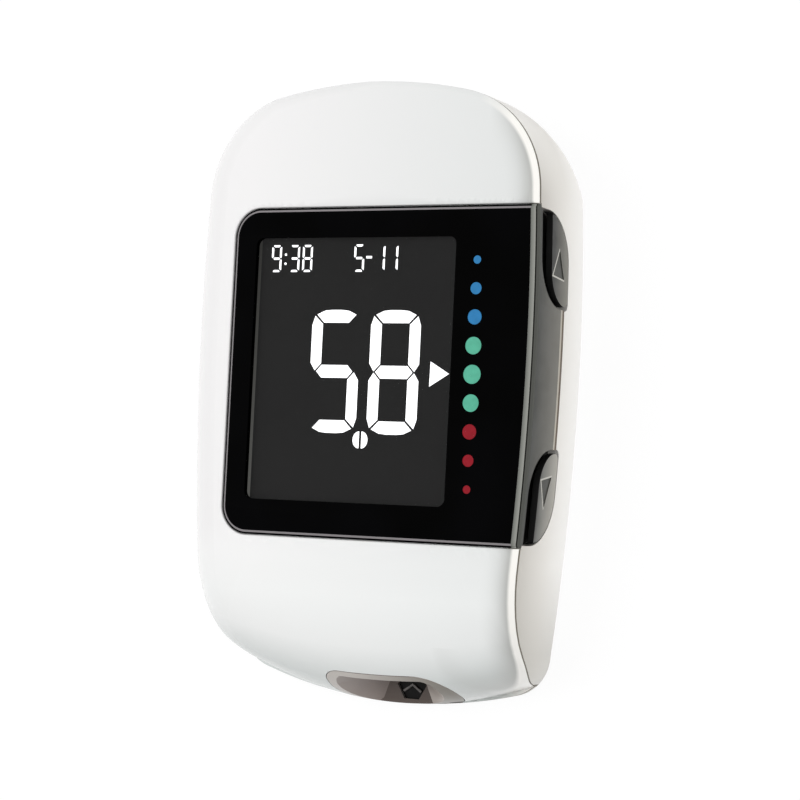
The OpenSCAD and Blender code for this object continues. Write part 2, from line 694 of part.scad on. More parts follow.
module switch(side) color([0.8, 0.8, 0.8]) translate([stem_x(side) - nub_inset, stem_y(side), 0]) {
  block([-nub_length - switch_depth, -2.2, board_top_z], [-nub_length, 2.2, stem_z + 1]);
  translate([-nub_length - 0.1, 0, stem_z]) rotate([0, 90, 0])
    cylinder(d = 1.4, h = nub_length + 0.1, $fn = 40);
}
module up_switch() switch(1);
module down_switch() switch(-1);

// ---- the display ----

module display_glass() color([0.55, 0.6, 0.55]) {
  translate([display_x, display_y]) {
    translate([0, contact_ledge / 2, guide_top_z]) linear_extrude(display_t)
      square([display_w, display_length - contact_ledge], center = true);
    translate([0, 0, display_top_z - display_t / 2]) linear_extrude(display_t / 2)
      square([display_w, display_length], center = true);
  }
}

module light_guide() color([0.95, 0.97, 1])
  translate([display_x, display_y + contact_ledge / 2, guide_back_z]) linear_extrude(guide_t) difference() {
    square([display_w, display_length - contact_ledge], center = true);
    // notches for the lamps at its upper edge
    for (x = [-1, 0, 1] * display_w * 0.27) translate([x, (display_length - contact_ledge) / 2])
      square([3.2, 1.6], center = true);
  }

module display_frame() color([0.92, 0.92, 0.9]) difference() {
  frame_top_z = ledge_back_z - fit;
  union() {
    translate([display_x, display_y, board_top_z]) linear_extrude(frame_top_z - board_top_z)
      rounded(frame_w, frame_length, 1.5);
    bore(0, SCREW_Y[1], board_top_z, guide_back_z, 4.6);
  }
  translate([display_x, display_y, guide_back_z]) linear_extrude(frame_top_z)
    square([display_w + 2 * fit, display_length + 2 * fit], center = true);
  difference() {
    translate([display_x, display_y + contact_ledge / 2, board_top_z - 1])
      linear_extrude(guide_back_z - shelf_t - board_top_z + 1)
        rounded(display_w - 0.8, display_length - contact_ledge - 0.8, 1);
    for (y = SCREW_Y) bore(0, y, 0, guide_back_z, 4.6);
  }
  // openings in the shelf, between its cross ribs
  opening_w = display_w / 2 - 3.4;
  opening_length = (display_length - contact_ledge) / 2 - 3.7;
  for (x = [-1, 1]) for (y = [-1, 1])
    translate([display_x + x * (opening_w / 2 + 1.6), display_y + contact_ledge / 2
      + y * (opening_length / 2 + 2), guide_back_z - shelf_t - 1])
      linear_extrude(shelf_t + 2) rounded(opening_w, opening_length, 1.5);
  translate([display_x, display_low_y + contact_ledge / 2, 0]) linear_extrude(body_thickness)
    square([elastomer_w + 2 * fit, elastomer_t + 2 * fit], center = true);
  for (y = SCREW_Y) bore(0, y, 0, board_top_z + screw_hold, screw_d + 0.04);
}
screw_hold = screw_head_z + screw_length - board_top_z + 0.1;
elastomer_w = display_w - 4;
elastomer_t = 2;

module elastomer_connector() color([0.85, 0.6, 0.7])
  translate([display_x, display_low_y + contact_ledge / 2, board_top_z])
    linear_extrude(display_top_z - display_t / 2 - board_top_z)
      square([elastomer_w, elastomer_t], center = true);

// ---- the board and what is soldered to it ----

module main_board() color([0.1, 0.4, 0.2]) translate([0, 0, board_back_z])
    linear_extrude(board_t) difference() {
  intersection() {
    polygon(outline(case_wall + board_gap));
    union() {
      translate([-right_x, bottom_y + board_shoulder])
        square([body_width, board_top_y - bottom_y - board_shoulder]);
      translate([port_x - board_tongue_w / 2, board_bottom_y]) square([board_tongue_w, board_shoulder]);
    }
  }
  for (y = SCREW_Y) translate([0, y]) circle(d = screw_d + 0.3, $fn = 48);
}

// Between the cross ribs and the left wall of the display's frame
module microcontroller() color([0.12, 0.12, 0.12])
  translate([display_x - display_w / 4 + 0.7, display_y + display_length / 4 - 0.7, board_top_z]) {
    linear_extrude(0.15) square(micro_w + 0.4, center = true);
    linear_extrude(1) rounded(micro_w, micro_w, 0.3);
  }

// Middle of what stands on the board between the display's frame and the top end of the body
upper_y = (display_y + frame_length / 2 + board_top_y) / 2 - 0.4;

module radio_module() color([0.75, 0.76, 0.78]) translate([-upper_x, upper_y, board_top_z]) {
  linear_extrude(0.6) square([radio_w, radio_length], center = true);
  translate([0.8, 0, 0]) linear_extrude(1.8) rounded(radio_w - 2.4, radio_length - 0.8, 0.4);
}
upper_x = usb_w / 2 + (right_x - usb_w / 2) * 0.34;

module sounder() color([0.15, 0.15, 0.16]) translate([upper_x, upper_y, board_top_z]) difference() {
  cylinder(d = sounder_d, h = 1.9, $fn = 72);
  translate([0, 0, 1.2]) cylinder(d = 1.6, h = 1, $fn = 32);
}

// ---- the batteries, their contacts and their door ----

module coin_cell(x) color([0.78, 0.79, 0.8]) translate([x, cell_y, cell_back_z]) rotate_extrude($fn = 120)
  polygon([[0, 0], [cell_d / 2 - 0.25, 0], [cell_d / 2, 0.25], [cell_d / 2, cell_t - 0.5],
    [cell_d / 2 - 0.6, cell_t - 0.25], [cell_d / 2 - 1.1, cell_t - 0.25],
    [cell_d / 2 - 1.5, cell_t], [0, cell_t]]);
module coin_cell_left() coin_cell(-cell_x);
module coin_cell_right() coin_cell(cell_x);

// The outline of a strip of metal that follows a path
function strip_normal(path, i) =
  let (a = path[max(i - 1, 0)], b = path[min(i + 1, len(path) - 1)], d = (b - a) / norm(b - a)) [-d.y, d.x];
function strip_outline(path, t) =
  concat(path, [for (i = [len(path) - 1:-1:0]) path[i] + t * strip_normal(path, i)]);

module cell_springs() color([0.85, 0.83, 0.7]) for (x = [-cell_x, cell_x])
  translate([x + 1.2, cell_y, 0]) rotate([90, 0, -90]) linear_extrude(2.4)
    polygon(strip_outline([[-3.7, board_back_z], [-2, board_back_z], [-1.2, board_back_z - 0.25],
      [1.6, cell_top_z + 0.18], [2.6, cell_top_z + 0.18], [3.4, cell_top_z + 0.7]], -0.18));

module cell_rim_contacts() color([0.85, 0.83, 0.7]) for (x = [-cell_x, cell_x])
  block([x - 1.5, cell_y + cell_d / 2 + 0.02, cell_back_z + 0.4],
    [x + 1.5, cell_y + cell_d / 2 + 0.24, board_back_z]);

hinge_y = cell_y - door_length / 2;
tongue_x = cell_x + 4.3;
tongue_w = 3;
module battery_door() color(warm_white) {
  difference() {
    linear_extrude(case_floor) door_outline(0);
    // finger grooves at the latch
    for (i = [0:2]) translate([0, cell_y + door_length / 2 - 3 - 1.3 * i, -0.35]) rotate([0, 90, 0])
      cylinder(r = 0.6, h = 9 - 1.6 * i, center = true, $fn = 32);
  }
  // tongues that hook under the case's back
  for (x = [-1, 1]) translate([x * tongue_x, 0, 0]) {
    block([-tongue_w / 2, hinge_y, case_floor / 2], [tongue_w / 2, hinge_y + 0.9, case_floor + 0.9]);
    block([-tongue_w / 2, hinge_y - 0.9, case_floor + 0.15], [tongue_w / 2, hinge_y + 0.5, case_floor + 0.9]);
  }
}

module case_screws() color([0.6, 0.6, 0.62]) for (y = SCREW_Y) difference() {
  union() {
    bore(0, y, screw_head_z - 1.1, screw_head_z, screw_head_d);
    bore(0, y, screw_head_z - 0.1, screw_head_z + screw_length, screw_d);
  }
  for (a = [0, 90]) translate([0, y, screw_head_z - 1.2]) rotate(a) linear_extrude(0.7)
    square([1.8, 0.4], center = true);
}

// ---- the strip port and the connector behind it ----

funnel_low_y = bottom_y + 0.55;
recess_x = port_x + 0.7;
recess_y = funnel_low_y + 0.1 + recess_d / 2 * cos(30);
module port_bezel() color([0.42, 0.4, 0.39]) {
  difference() {
    union() {
      intersection() {
        envelope(0);
        port_prism(0, -6, 6);
        union() {
          port_prism(1, -2.6, 6);
          // the tub under the funnel's floor
          block([-right_x, bottom_y - 1, chin_lip], [right_x, mouth_y + 0.5, board_back_z - 0.2]);
        }
        block([-right_x, bottom_y - 1, chin_lip], [right_x, 0, body_thickness]);
      }
      throat(0);
    }
    // the funnel: from the rim inside the outline down to its floor and up to the slot's mouth
    hull() {
      at_port() translate([0, 0, 1]) linear_extrude(0.1) {
        port_outline(-port_rim);
        translate([0, -0.7]) port_outline(-port_rim);
      }
      block([port_x - slot_w / 2 + 0.5, funnel_low_y, funnel_floor_z],
        [port_x + slot_w / 2 - 0.5, mouth_y - 0.7, funnel_floor_z + 0.1]);
      block([port_x - slot_w / 2, mouth_y, slot_z], [port_x + slot_w / 2, mouth_y + 0.1, slot_z + slot_h]);
    }
    block([port_x - slot_w / 2, mouth_y - 1, slot_z],
      [port_x + slot_w / 2, connector_front_y + 1, slot_z + slot_h]);
    translate([recess_x, recess_y, funnel_floor_z - recess_depth]) cylinder(d = recess_d, h = 1, $fn = 6);
  }
  // a raised chevron in the recess points the way in
  for (side = [-1, 1]) translate([recess_x, recess_y + 0.15, funnel_floor_z - recess_depth - 0.1])
    scale([side, 1, 1]) linear_extrude(recess_depth)
      polygon([[-0.01, 0], [-0.01, -0.45], [1.05, -1.15], [1.3, -0.85]]);
}

function contact_x(i) = port_x + contact_pitch * (i - (contact_count - 1) / 2);
module strip_connector() color([0.1, 0.1, 0.1]) difference() {
  block([port_x - slot_w / 2 - 1.4, connector_front_y, board_top_z],
    [port_x + slot_w / 2 + 1.4, connector_back_y, connector_top_z]);
  block([port_x - slot_w / 2, connector_front_y - 1, slot_z],
    [port_x + slot_w / 2, connector_back_y + 1, slot_z + slot_h]);
  for (i = [0:contact_count - 1]) block([contact_x(i) - 0.4, connector_front_y + 0.9, slot_z + 0.1],
    [contact_x(i) + 0.4, connector_back_y + 1, connector_top_z - 0.4]);
}

module strip_contacts() color([0.9, 0.75, 0.35]) for (i = [0:contact_count - 1])
  translate([contact_x(i) - 0.3, connector_back_y, 0]) rotate([90, 0, 90]) linear_extrude(0.6)
    polygon(strip_outline([[1.1, board_top_z], [0.1, board_top_z], [0.02, board_top_z + 0.2],
      [0.02, connector_top_z - 0.75], [-0.15, connector_top_z - 0.55], [-0.8, connector_top_z - 0.55],
      [-2.6, slot_z + 0.35], [-3.3, slot_z + 0.8]], -0.15));

// ---- the strip ejector ----

finger_x = 2.75;
bar_low_y = connector_back_y + ejector_travel + 1.9;
module strip_ejector() color([0.85, 0.85, 0.84]) {
  low_z = ejector_z - ejector_w / 2;
  arm_z = board_top_z + 0.3;
  at_ejector() difference() {
    union() {
      block([-ejector_proud, -ejector_length / 2, low_z],
        [case_wall + 0.6, ejector_length / 2, ejector_z + ejector_w / 2]);
      block([case_wall + 0.3, -ejector_cover, low_z],
        [case_wall + 1.1, ejector_cover, ejector_z + ejector_w / 2 + 0.8]);
    }
    // grip grooves
    for (i = [-2:2]) translate([-ejector_proud, 1.3 * i, low_z - 1]) cylinder(r = 0.3, h = 6, $fn = 24);
  }
  // the arm over the board, with a bar and two fingers behind the strip
  x = -side_x(ejector_y) + case_wall + 0.8;
  y = ejector_y - ejector_cover;
  translate([0, 0, arm_z]) linear_extrude(slot_z + slot_h - 0.1 - arm_z) {
    polygon([[x, y + 3.4], [x + 2, y + 3.4], [x + 3.4, y], [-4, bar_low_y + 1.4],
      [port_x + finger_x, bar_low_y + 1.4], [port_x + finger_x, bar_low_y], [-4.5, bar_low_y],
      [x + 2, y - 1], [x + 0.3, y + 1.5]]);
  }
  for (side = [-1, 1])
    block([port_x + side * finger_x - 0.4, connector_back_y - 0.2, slot_z + 0.1],
      [port_x + side * finger_x + 0.4, bar_low_y + 1, slot_z + slot_h - 0.1]);
}

// A round wire wound along +Z as one unbroken tube
module coil(r, wire, pitch, turns) {
  sides = 6;
  steps = 8;
  function ring(j) = let (a = 360 * j / steps, z = pitch * j / steps)
    [for (k = [0:sides - 1]) let (b = -360 * k / sides, d = r + wire / 2 * cos(b))
      [d * cos(a), d * sin(a), z + wire / 2 * sin(b)]];
  loft([for (j = [0:steps * turns]) ring(j)]);
}
module ejector_spring() color([0.7, 0.7, 0.72])
  at_ejector() translate([case_wall + 1.25, ejector_cover + 0.2, board_top_z + 0.85]) rotate([-90, 0, 0])
    coil(spring_r, 0.25, spring_pitch, spring_turns);

// ---- the USB socket ----

module usb_socket() color([0.8, 0.8, 0.82])
  translate([0, top_y - 0.9 - usb_length, usb_z]) rotate([-90, 0, 0]) difference() {
    linear_extrude(usb_length) usb_outline(0);
    translate([0, 0, 0.4]) linear_extrude(usb_length) usb_outline(0.3);
  }
module usb_outline(shrink) {
  w = usb_w / 2 - shrink;
  h = usb_h / 2 - shrink;
  polygon([[-w, -h], [w, -h], [w, h - 0.8], [w - 0.9, h], [0.9 - w, h], [-w, h - 0.8]]);
}
module usb_tongue() color([0.1, 0.1, 0.1])
  block([-1.9, top_y - 0.5 - usb_length, usb_z + 0.1], [1.9, top_y - 1.8, usb_z + 0.7]);

front_cover();
rear_case();
display_window();
range_marks();
side_insert();
up_button();
down_button();
up_plunger();
down_plunger();
up_switch();
down_switch();
display_glass();
light_guide();
display_frame();
elastomer_connector();
main_board();
microcontroller();
radio_module();
sounder();
battery_door();
coin_cell_left();
coin_cell_right();
cell_springs();
cell_rim_contacts();
case_screws();
port_bezel();
strip_connector();
strip_contacts();
strip_ejector();
ejector_spring();
usb_socket();
usb_tongue();
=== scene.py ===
"""A pocket blood glucose meter, lying on its back and seen from its front right."""
import math

import bmesh
import bpy
from mathutils import Matrix, Vector, kdtree


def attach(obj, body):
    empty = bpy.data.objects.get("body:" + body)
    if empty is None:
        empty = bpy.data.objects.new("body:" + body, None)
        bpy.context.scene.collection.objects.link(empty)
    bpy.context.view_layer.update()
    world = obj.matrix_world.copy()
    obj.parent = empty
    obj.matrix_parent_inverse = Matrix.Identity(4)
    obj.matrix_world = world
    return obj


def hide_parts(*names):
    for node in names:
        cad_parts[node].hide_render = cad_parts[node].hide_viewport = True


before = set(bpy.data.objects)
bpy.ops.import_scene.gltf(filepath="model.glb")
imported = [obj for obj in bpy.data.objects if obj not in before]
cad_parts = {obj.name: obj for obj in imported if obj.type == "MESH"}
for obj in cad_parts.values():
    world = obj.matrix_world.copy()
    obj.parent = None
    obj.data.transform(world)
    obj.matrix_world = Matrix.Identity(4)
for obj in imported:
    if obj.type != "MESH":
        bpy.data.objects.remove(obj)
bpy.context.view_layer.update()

# ---- Camera ----
# A long lens, high up on the meter's right, so that the front face looks slim and the right wall shows.
# Lengths in the sections below are in millimetres, and MM turns them into Blender's metres.
MM = 0.001
camera_place = Vector((140.85, -15.01, 274.32)) * MM
swing, nod, lean = -0.477925, -0.0484386, 0.0484524
looking = (Matrix.Rotation(lean, 3, "Z") @ Matrix.Rotation(nod, 3, "X")
           @ Matrix.Diagonal((1, -1, -1)) @ Matrix.Rotation(swing, 3, "Y"))
lens = bpy.data.cameras.new("studio_camera")
lens.lens, lens.sensor_width = 108, 36
lens.clip_start, lens.clip_end = 0.01, 10
camera = bpy.data.objects.new("studio_camera", lens)
camera.matrix_world = (Matrix.Translation(camera_place)
                       @ Matrix((looking[0], -looking[1], -looking[2])).transposed().to_4x4())
bpy.context.collection.objects.link(camera)
bpy.context.scene.camera = camera
bpy.context.scene.view_settings.view_transform = "Standard"


# ---- Studio floor and lights ----
# A pale floor under the meter, a wide soft box above its left, low ones at its sides, and a pale room.
# Rays from the camera, from gloss and through glass see the floor and the room as white paper.
def linear(red, green, blue):
    """A colour as a picture shows it, 0 to 255, turned into light."""
    return tuple(((c / 255 + 0.055) / 1.055) ** 2.4 if c > 10 else c / 255 / 12.92
                 for c in (red, green, blue)) + (1.0,)


class Tone:
    """A value on its way through a material. Sums written with it add Math nodes, node() adds any other."""

    def __init__(self, tree, socket=None):
        self.tree, self.socket = tree, socket

    def node(self, kind, settings=None, inputs=None, out=0):
        made = self.tree.nodes.new(kind)
        for name, value in (settings or {}).items():
            if name == "stops":
                while len(made.color_ramp.elements) < len(value):
                    made.color_ramp.elements.new(0.5)
                for element, (position, colour) in zip(made.color_ramp.elements, value):
                    element.position, element.color = position, colour
            else:
                setattr(made, name, value)
        for name, value in (inputs or {}).items():
            if isinstance(value, Tone):
                self.tree.links.new(value.socket, made.inputs[name])
            else:
                made.inputs[name].default_value = value
        return Tone(self.tree, made.outputs[out])

    def sum(self, operation, *others):
        return self.node("ShaderNodeMath", {"operation": operation}, dict(enumerate(others)))

    def __add__(self, other):
        return self.sum("ADD", self, other)

    __radd__ = __add__

    def __sub__(self, other):
        return self.sum("SUBTRACT", self, other)

    def __rsub__(self, other):
        return self.sum("SUBTRACT", other, self)

    def __mul__(self, other):
        return self.sum("MULTIPLY", self, other)

    __rmul__ = __mul__

    def __truediv__(self, other):
        return self.sum("DIVIDE", self, other)

    def __abs__(self):
        return self.sum("ABSOLUTE", self)

    def __gt__(self, other):
        return self.sum("GREATER_THAN", self, other)

    def __lt__(self, other):
        return self.sum("LESS_THAN", self, other)

    def mix(self, first, second):
        """The first colour where this value is 0, and the second where it is 1."""
        return self.node("ShaderNodeMix", {"data_type": "RGBA"}, {0: self, 6: first, 7: second}, out=2)


def seen_by_eye(tree):
    """1 for rays from the camera, from gloss or through glass, and 0 for those that only light things."""
    rays = tree.nodes.new("ShaderNodeLightPath")
    eye, gloss, glass = (Tone(tree, rays.outputs[name])
                         for name in ("Is Camera Ray", "Is Glossy Ray", "Is Transmission Ray"))
    return eye.sum("MAXIMUM", eye.sum("MAXIMUM", eye, gloss), glass)


paper = bpy.data.materials.new("studio_paper")
paper.use_nodes = True
tree = paper.node_tree
tree.nodes.clear()
seen = seen_by_eye(tree)
lit = seen.node("ShaderNodeBsdfDiffuse", None, {"Color": linear(238, 238, 239)})
glow = seen.node("ShaderNodeEmission", None, {"Color": (1, 1, 1, 1), "Strength": 1.03})
mixed = seen.node("ShaderNodeMixShader", None, {0: 0.9 * seen, 1: lit, 2: glow})
tree.links.new(mixed.socket, tree.nodes.new("ShaderNodeOutputMaterial").inputs["Surface"])
sheet = bmesh.new()
bmesh.ops.create_grid(sheet, x_segments=1, y_segments=1, size=2.5)
floor_mesh = bpy.data.meshes.new("floor")
sheet.to_mesh(floor_mesh)
sheet.free()
floor_mesh.materials.append(paper)
floor = bpy.data.objects.new("floor", floor_mesh)
bpy.context.collection.objects.link(floor)

room = bpy.data.worlds.new("studio_room")
bpy.context.scene.world = room
room.use_nodes = True
tree = room.node_tree
sky = tree.nodes["Background"]
sky.inputs["Color"].default_value = (1, 1, 1, 1)
tree.links.new((0.46 + 0.54 * seen_by_eye(tree)).socket, sky.inputs["Strength"])


def soft_box(name, place, aim, size, watts, colour=(1, 1, 1)):
    """A square lamp behind a diffuser, aimed at a point."""
    lamp = bpy.data.lights.new(name, "AREA")
    lamp.shape, lamp.size, lamp.energy, lamp.color = "SQUARE", size, watts, colour
    holder = bpy.data.objects.new(name, lamp)
    place, aim = Vector(place), Vector(aim)
    turn = (aim - place).to_track_quat("-Z", "Y")
    holder.matrix_world = Matrix.Translation(place) @ turn.to_matrix().to_4x4()
    holder.visible_glossy = False
    bpy.context.collection.objects.link(holder)


soft_box("upper_box", (-0.35, 0.15, 0.75), (0, 0, 0), 0.5, 3.7)
soft_box("left_box", (-0.8, 0.1, 0.25), (0, 0, 0.01), 0.5, 0.5)
soft_box("right_box", (0.8, 0.0, 0.2), (0, 0, 0.01), 0.5, 3.0)

# ---- Front cover ----
# The white shell moulded in gloss-polished plastic. Its outline is eight arcs that run into each other,
# its left edge rolls softly, and its lower end falls in one long roll to the strip port.
LENGTH, WIDTH, THICK = 77.1, 48.6, 15.3
TOP_Y, LOW_Y, RIGHT_X = LENGTH / 2, -LENGTH / 2, WIDTH / 2
SIDE_R, TOP_R, LOW_R, TOP_CORNER_R, LOW_CORNER_R, WIDEST_Y = 345, 65, 62, 13, 6, 7.7
EDGE_W, EDGE_H, LEFT_ROLL = 1, 0.35, 4.5
CHIN_Y, CHIN_R, CHIN_LIP, APEX_X = -20.6, 50, 1.6, 1.8
WALL, COVER_WALL, SEAM = 1.5, 1.3, 0.08


def meet(a, ra, b, rb, side):
    """The point at distance ra from a and rb from b, on one side of the line from a to b."""
    gap = (b - a).length
    along = (b - a) / gap
    run = (ra * ra - rb * rb + gap * gap) / (2 * gap)
    return a + run * along + side * math.sqrt(ra * ra - run * run) * Vector((-along.y, along.x))


top_hub, low_hub = Vector((0, TOP_Y - TOP_R)), Vector((APEX_X, LOW_Y + LOW_R))
right_hub, left_hub = Vector((RIGHT_X - SIDE_R, WIDEST_Y)), Vector((SIDE_R - RIGHT_X, WIDEST_Y))
corners = [meet(end, end_r - r, side, SIDE_R - r, turn) for end, end_r, side, r, turn in (
    (top_hub, TOP_R, left_hub, TOP_CORNER_R, 1), (low_hub, LOW_R, left_hub, LOW_CORNER_R, -1),
    (low_hub, LOW_R, right_hub, LOW_CORNER_R, 1), (top_hub, TOP_R, right_hub, TOP_CORNER_R, -1))]


def heading(a, b):
    """The direction from a to b, from 90 degrees at the top end round to 450."""
    turn = math.degrees(math.atan2(b.y - a.y, b.x - a.x))
    return turn + 360 if turn < 90 else turn


joins = [90, heading(top_hub, corners[0]), heading(left_hub, corners[0]), heading(left_hub, corners[1]),
         heading(low_hub, corners[1]), heading(low_hub, corners[2]), heading(right_hub, corners[2]),
         heading(right_hub, corners[3]), heading(top_hub, corners[3]), 450]
# The top arc starts and ends the round, so it stands here in two halves.
hubs = [(top_hub, TOP_R, 14), (corners[0], TOP_CORNER_R, 22), (left_hub, SIDE_R, 34),
        (corners[1], LOW_CORNER_R, 18), (low_hub, LOW_R, 34), (corners[2], LOW_CORNER_R, 18),
        (right_hub, SIDE_R, 34), (corners[3], TOP_CORNER_R, 22), (top_hub, TOP_R, 14)]
stations = [(hub, r, math.radians(joins[k] + (joins[k + 1] - joins[k]) * i / steps))
            for k, (hub, r, steps) in enumerate(hubs) for i in range(steps)]


def place(station, inset):
    """The point of the outline at a station, moved inwards."""
    hub, r, turn = station
    return hub + (r - inset) * Vector((math.cos(turn), math.sin(turn)))


def side_x(y):
    return math.sqrt(SIDE_R ** 2 - (y - WIDEST_Y) ** 2) + RIGHT_X - SIDE_R


def left_share(turn):
    return max(0.0, -math.cos(turn)) ** 0.7


def roll_width(turn):
    return EDGE_W + (LEFT_ROLL - EDGE_W) * left_share(turn)


def face_z(p):
    """Height of the front face, which rolls down towards the lower end."""
    chin_end = LOW_Y + CHIN_R - math.sqrt(CHIN_R ** 2 - (p.x - APEX_X) ** 2)
    t = min(1.0, max(0.0, (CHIN_Y - p.y) / (CHIN_Y - chin_end)))
    return CHIN_LIP + (THICK - CHIN_LIP) * math.sqrt(1 - t * t)


def skin_z(station, inset):
    """Height of the cover's edge roll at a station."""
    z = face_z(place(station, inset))
    left = max(0.0, 1 - inset / roll_width(station[2]))
    foot = CHIN_LIP * 0.8
    deep = EDGE_H + (LEFT_ROLL - EDGE_H) * left_share(station[2])
    deep = deep * (z - foot) / (THICK - foot)
    return z - deep * (1 - math.sqrt(1 - left * left))


def ring(inset, height):
    """The outline moved inwards, with a height for each station."""
    return [(*place(s, inset(s) if callable(inset) else inset), height(s)) for s in stations]


def skin_ring(share):
    """A ring of the edge roll, from 0 at the seam to 1 where the face begins."""
    inset = lambda s: roll_width(s[2]) * (1 - math.cos(share * math.pi / 2))
    return ring(inset, lambda s: skin_z(s, inset(s)))


def face_ring(share, inset, drop=0.0):
    """A ring of the front face, drawn in towards a point in the middle of the window."""
    middle = Vector((0, 6))
    points = [middle + share * (place(s, inset(s)) - middle) for s in stations]
    return [(*p, face_z(Vector((p.x, p.y - 0.8 * drop))) - drop) for p in points]


def loft(rings):
    """A closed solid, grown ring by ring from a circle and filled at both ends."""
    solid = bmesh.new()
    loop = bmesh.ops.create_circle(solid, cap_ends=True, segments=len(rings[0]), radius=1)["verts"]
    edges = solid.edges[:]
    for points in rings:
        if points is not rings[0]:
            grown = bmesh.ops.extrude_edge_only(solid, edges=edges)["geom"]
            fresh = {item for item in grown if isinstance(item, bmesh.types.BMVert)}
            edges = [item for item in grown
                     if isinstance(item, bmesh.types.BMEdge) and fresh.issuperset(item.verts)]
            loop = [next(e.other_vert(v) for e in v.link_edges if e.other_vert(v) in fresh) for v in loop]
        for vertex, point in zip(loop, points):
            vertex.co = point
    bmesh.ops.edgeloop_fill(solid, edges=edges)
    bmesh.ops.recalc_face_normals(solid, faces=solid.faces)
    return solid


def prism(outline, low, high, shaped=lambda x, y, z: (x, y, z)):
    """A straight solid over an outline, between two heights."""
    return loft([[shaped(x, y, z) for x, y in outline] for z in (low, high)])


def block(low, high):
    (x0, y0, z0), (x1, y1, z1) = low, high
    return prism([(x0, y0), (x1, y0), (x1, y1), (x0, y1)], z0, z1)


def as_object(name, solid):
    mesh = bpy.data.meshes.new(name)
    solid.to_mesh(mesh)
    solid.free()
    thing = bpy.data.objects.new(name, mesh)
    bpy.context.collection.objects.link(thing)
    return thing


def worked(solid, *steps):
    """A solid with others cut out of it ("cut"), joined to it ("join") or kept in common with it ("keep")."""
    body = as_object("blank", solid)
    tools = []
    for kind, tool in steps:
        tools.append(as_object("tool", tool))
        change = body.modifiers.new(kind, "BOOLEAN")
        change.solver = "MANIFOLD"
        change.operation = {"cut": "DIFFERENCE", "join": "UNION", "keep": "INTERSECT"}[kind]
        change.object = tools[-1]
    done = bmesh.new()
    done.from_mesh(body.evaluated_get(bpy.context.evaluated_depsgraph_get()).to_mesh())
    for spent in [body, *tools]:
        mesh = spent.data
        bpy.data.objects.remove(spent)
        bpy.data.meshes.remove(mesh)
    bmesh.ops.remove_doubles(done, verts=done.verts, dist=1e-4)
    bmesh.ops.dissolve_degenerate(done, edges=done.edges, dist=1e-4)
    return done


def piece(name, solid, material, body, slot, *nodes, coats=(), ease=0.0, ease_angle=40, sharp=35, steps=2):
    """A finished piece: smooth where its surface is, its edges eased, and set on its CAD body.

    coats are pairs of another finish and a test, which tells from a face's middle if it gets that finish.
    """
    for face in solid.faces:
        middle = face.calc_center_median()
        face.material_index = next((k + 1 for k, (coat, test) in enumerate(coats) if test(middle)), 0)
    bmesh.ops.scale(solid, vec=(MM, MM, MM), verts=solid.verts)
    thing = as_object(name, solid)
    thing.data.shade_smooth()
    thing.data.set_sharp_from_angle(angle=math.radians(sharp))
    if ease:
        rounding = thing.modifiers.new("eased_edges", "BEVEL")
        rounding.width, rounding.segments, rounding.profile = ease * MM, steps, 0.5
        rounding.limit_method, rounding.angle_limit = "ANGLE", math.radians(ease_angle)
        rounding.harden_normals = False
    flat = thing.modifiers.new("even_shading", "WEIGHTED_NORMAL")
    flat.keep_sharp = True
    for coat in (material, *(coat for coat, test in coats)):
        thing.data.materials.append(coat)
    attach(thing, body)
    if nodes:
        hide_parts(*nodes)
    return thing


def finish(name, roughness, **constants):
    """A material with one shader, and object coordinates in millimetres to draw with."""
    material = bpy.data.materials.new(name)
    material.use_nodes = True
    shader = material.node_tree.nodes["Principled BSDF"]
    shader.inputs["Roughness"].default_value = roughness
    for socket, value in constants.items():
        shader.inputs[socket.replace("_", " ")].default_value = value
    return material, drawing_spot(material)


def drawing_spot(material):
    """A spot of the object, in millimetres."""
    start = Tone(material.node_tree)
    return start.node("ShaderNodeVectorMath", {"operation": "SCALE"},
                      {0: start.node("ShaderNodeTexCoord", out="Object"), "Scale": 1 / MM})


def paint(material, socket, value):
    material.node_tree.links.new(value.socket, material.node_tree.nodes["Principled BSDF"].inputs[socket])


def spread(value, low, high):
    """0 up to the low value, 1 from the high one on, and even in between."""
    return value.node("ShaderNodeMapRange", None, {0: value, 1: low, 2: high})


def cloud(spot, scale, detail=2, low=0.35, high=0.65):
    """Soft noise from 0 to 1, with so many lumps per millimetre."""
    noise = spot.node("ShaderNodeTexNoise", None, {"Vector": spot, "Scale": scale, "Detail": detail})
    return spread(noise, low, high)


def axes(spot):
    """A spot's way to the right, to the far end and up."""
    split = spot.node("ShaderNodeSeparateXYZ", None, {0: spot}).socket.node
    return [Tone(spot.tree, out) for out in split.outputs]


def larger(first, second):
    return first.sum("MAXIMUM", first, second)


def root(value):
    return value.sum("SQRT", value)


def reach(across, along, hub):
    """How far a spot lies from a hub of the outline."""
    away, aside = across - hub.x, along - hub.y
    return root(away * away + aside * aside)


def side_depth(across, along):
    """How deep a spot lies inside the outline's right side and its two corners."""
    depth = SIDE_R - reach(across, along, right_hub)
    for hub, r, elsewhere in ((corners[3], TOP_CORNER_R, along < corners[3].y),
                              (corners[2], LOW_CORNER_R, along > corners[2].y)):
        depth = depth.sum("MINIMUM", depth, r - reach(across, along, hub) + 99 * elsewhere)
    return depth


def mould_skin(material, spot, grain, texture):
    """The fine skin that a mould leaves: lumps per millimetre, and their height."""
    skin = cloud(spot, grain, detail=3, low=0, high=1)
    paint(material, "Normal", skin.node("ShaderNodeBump", None,
                                        {"Strength": 0.4, "Distance": texture * MM, "Height": skin}))


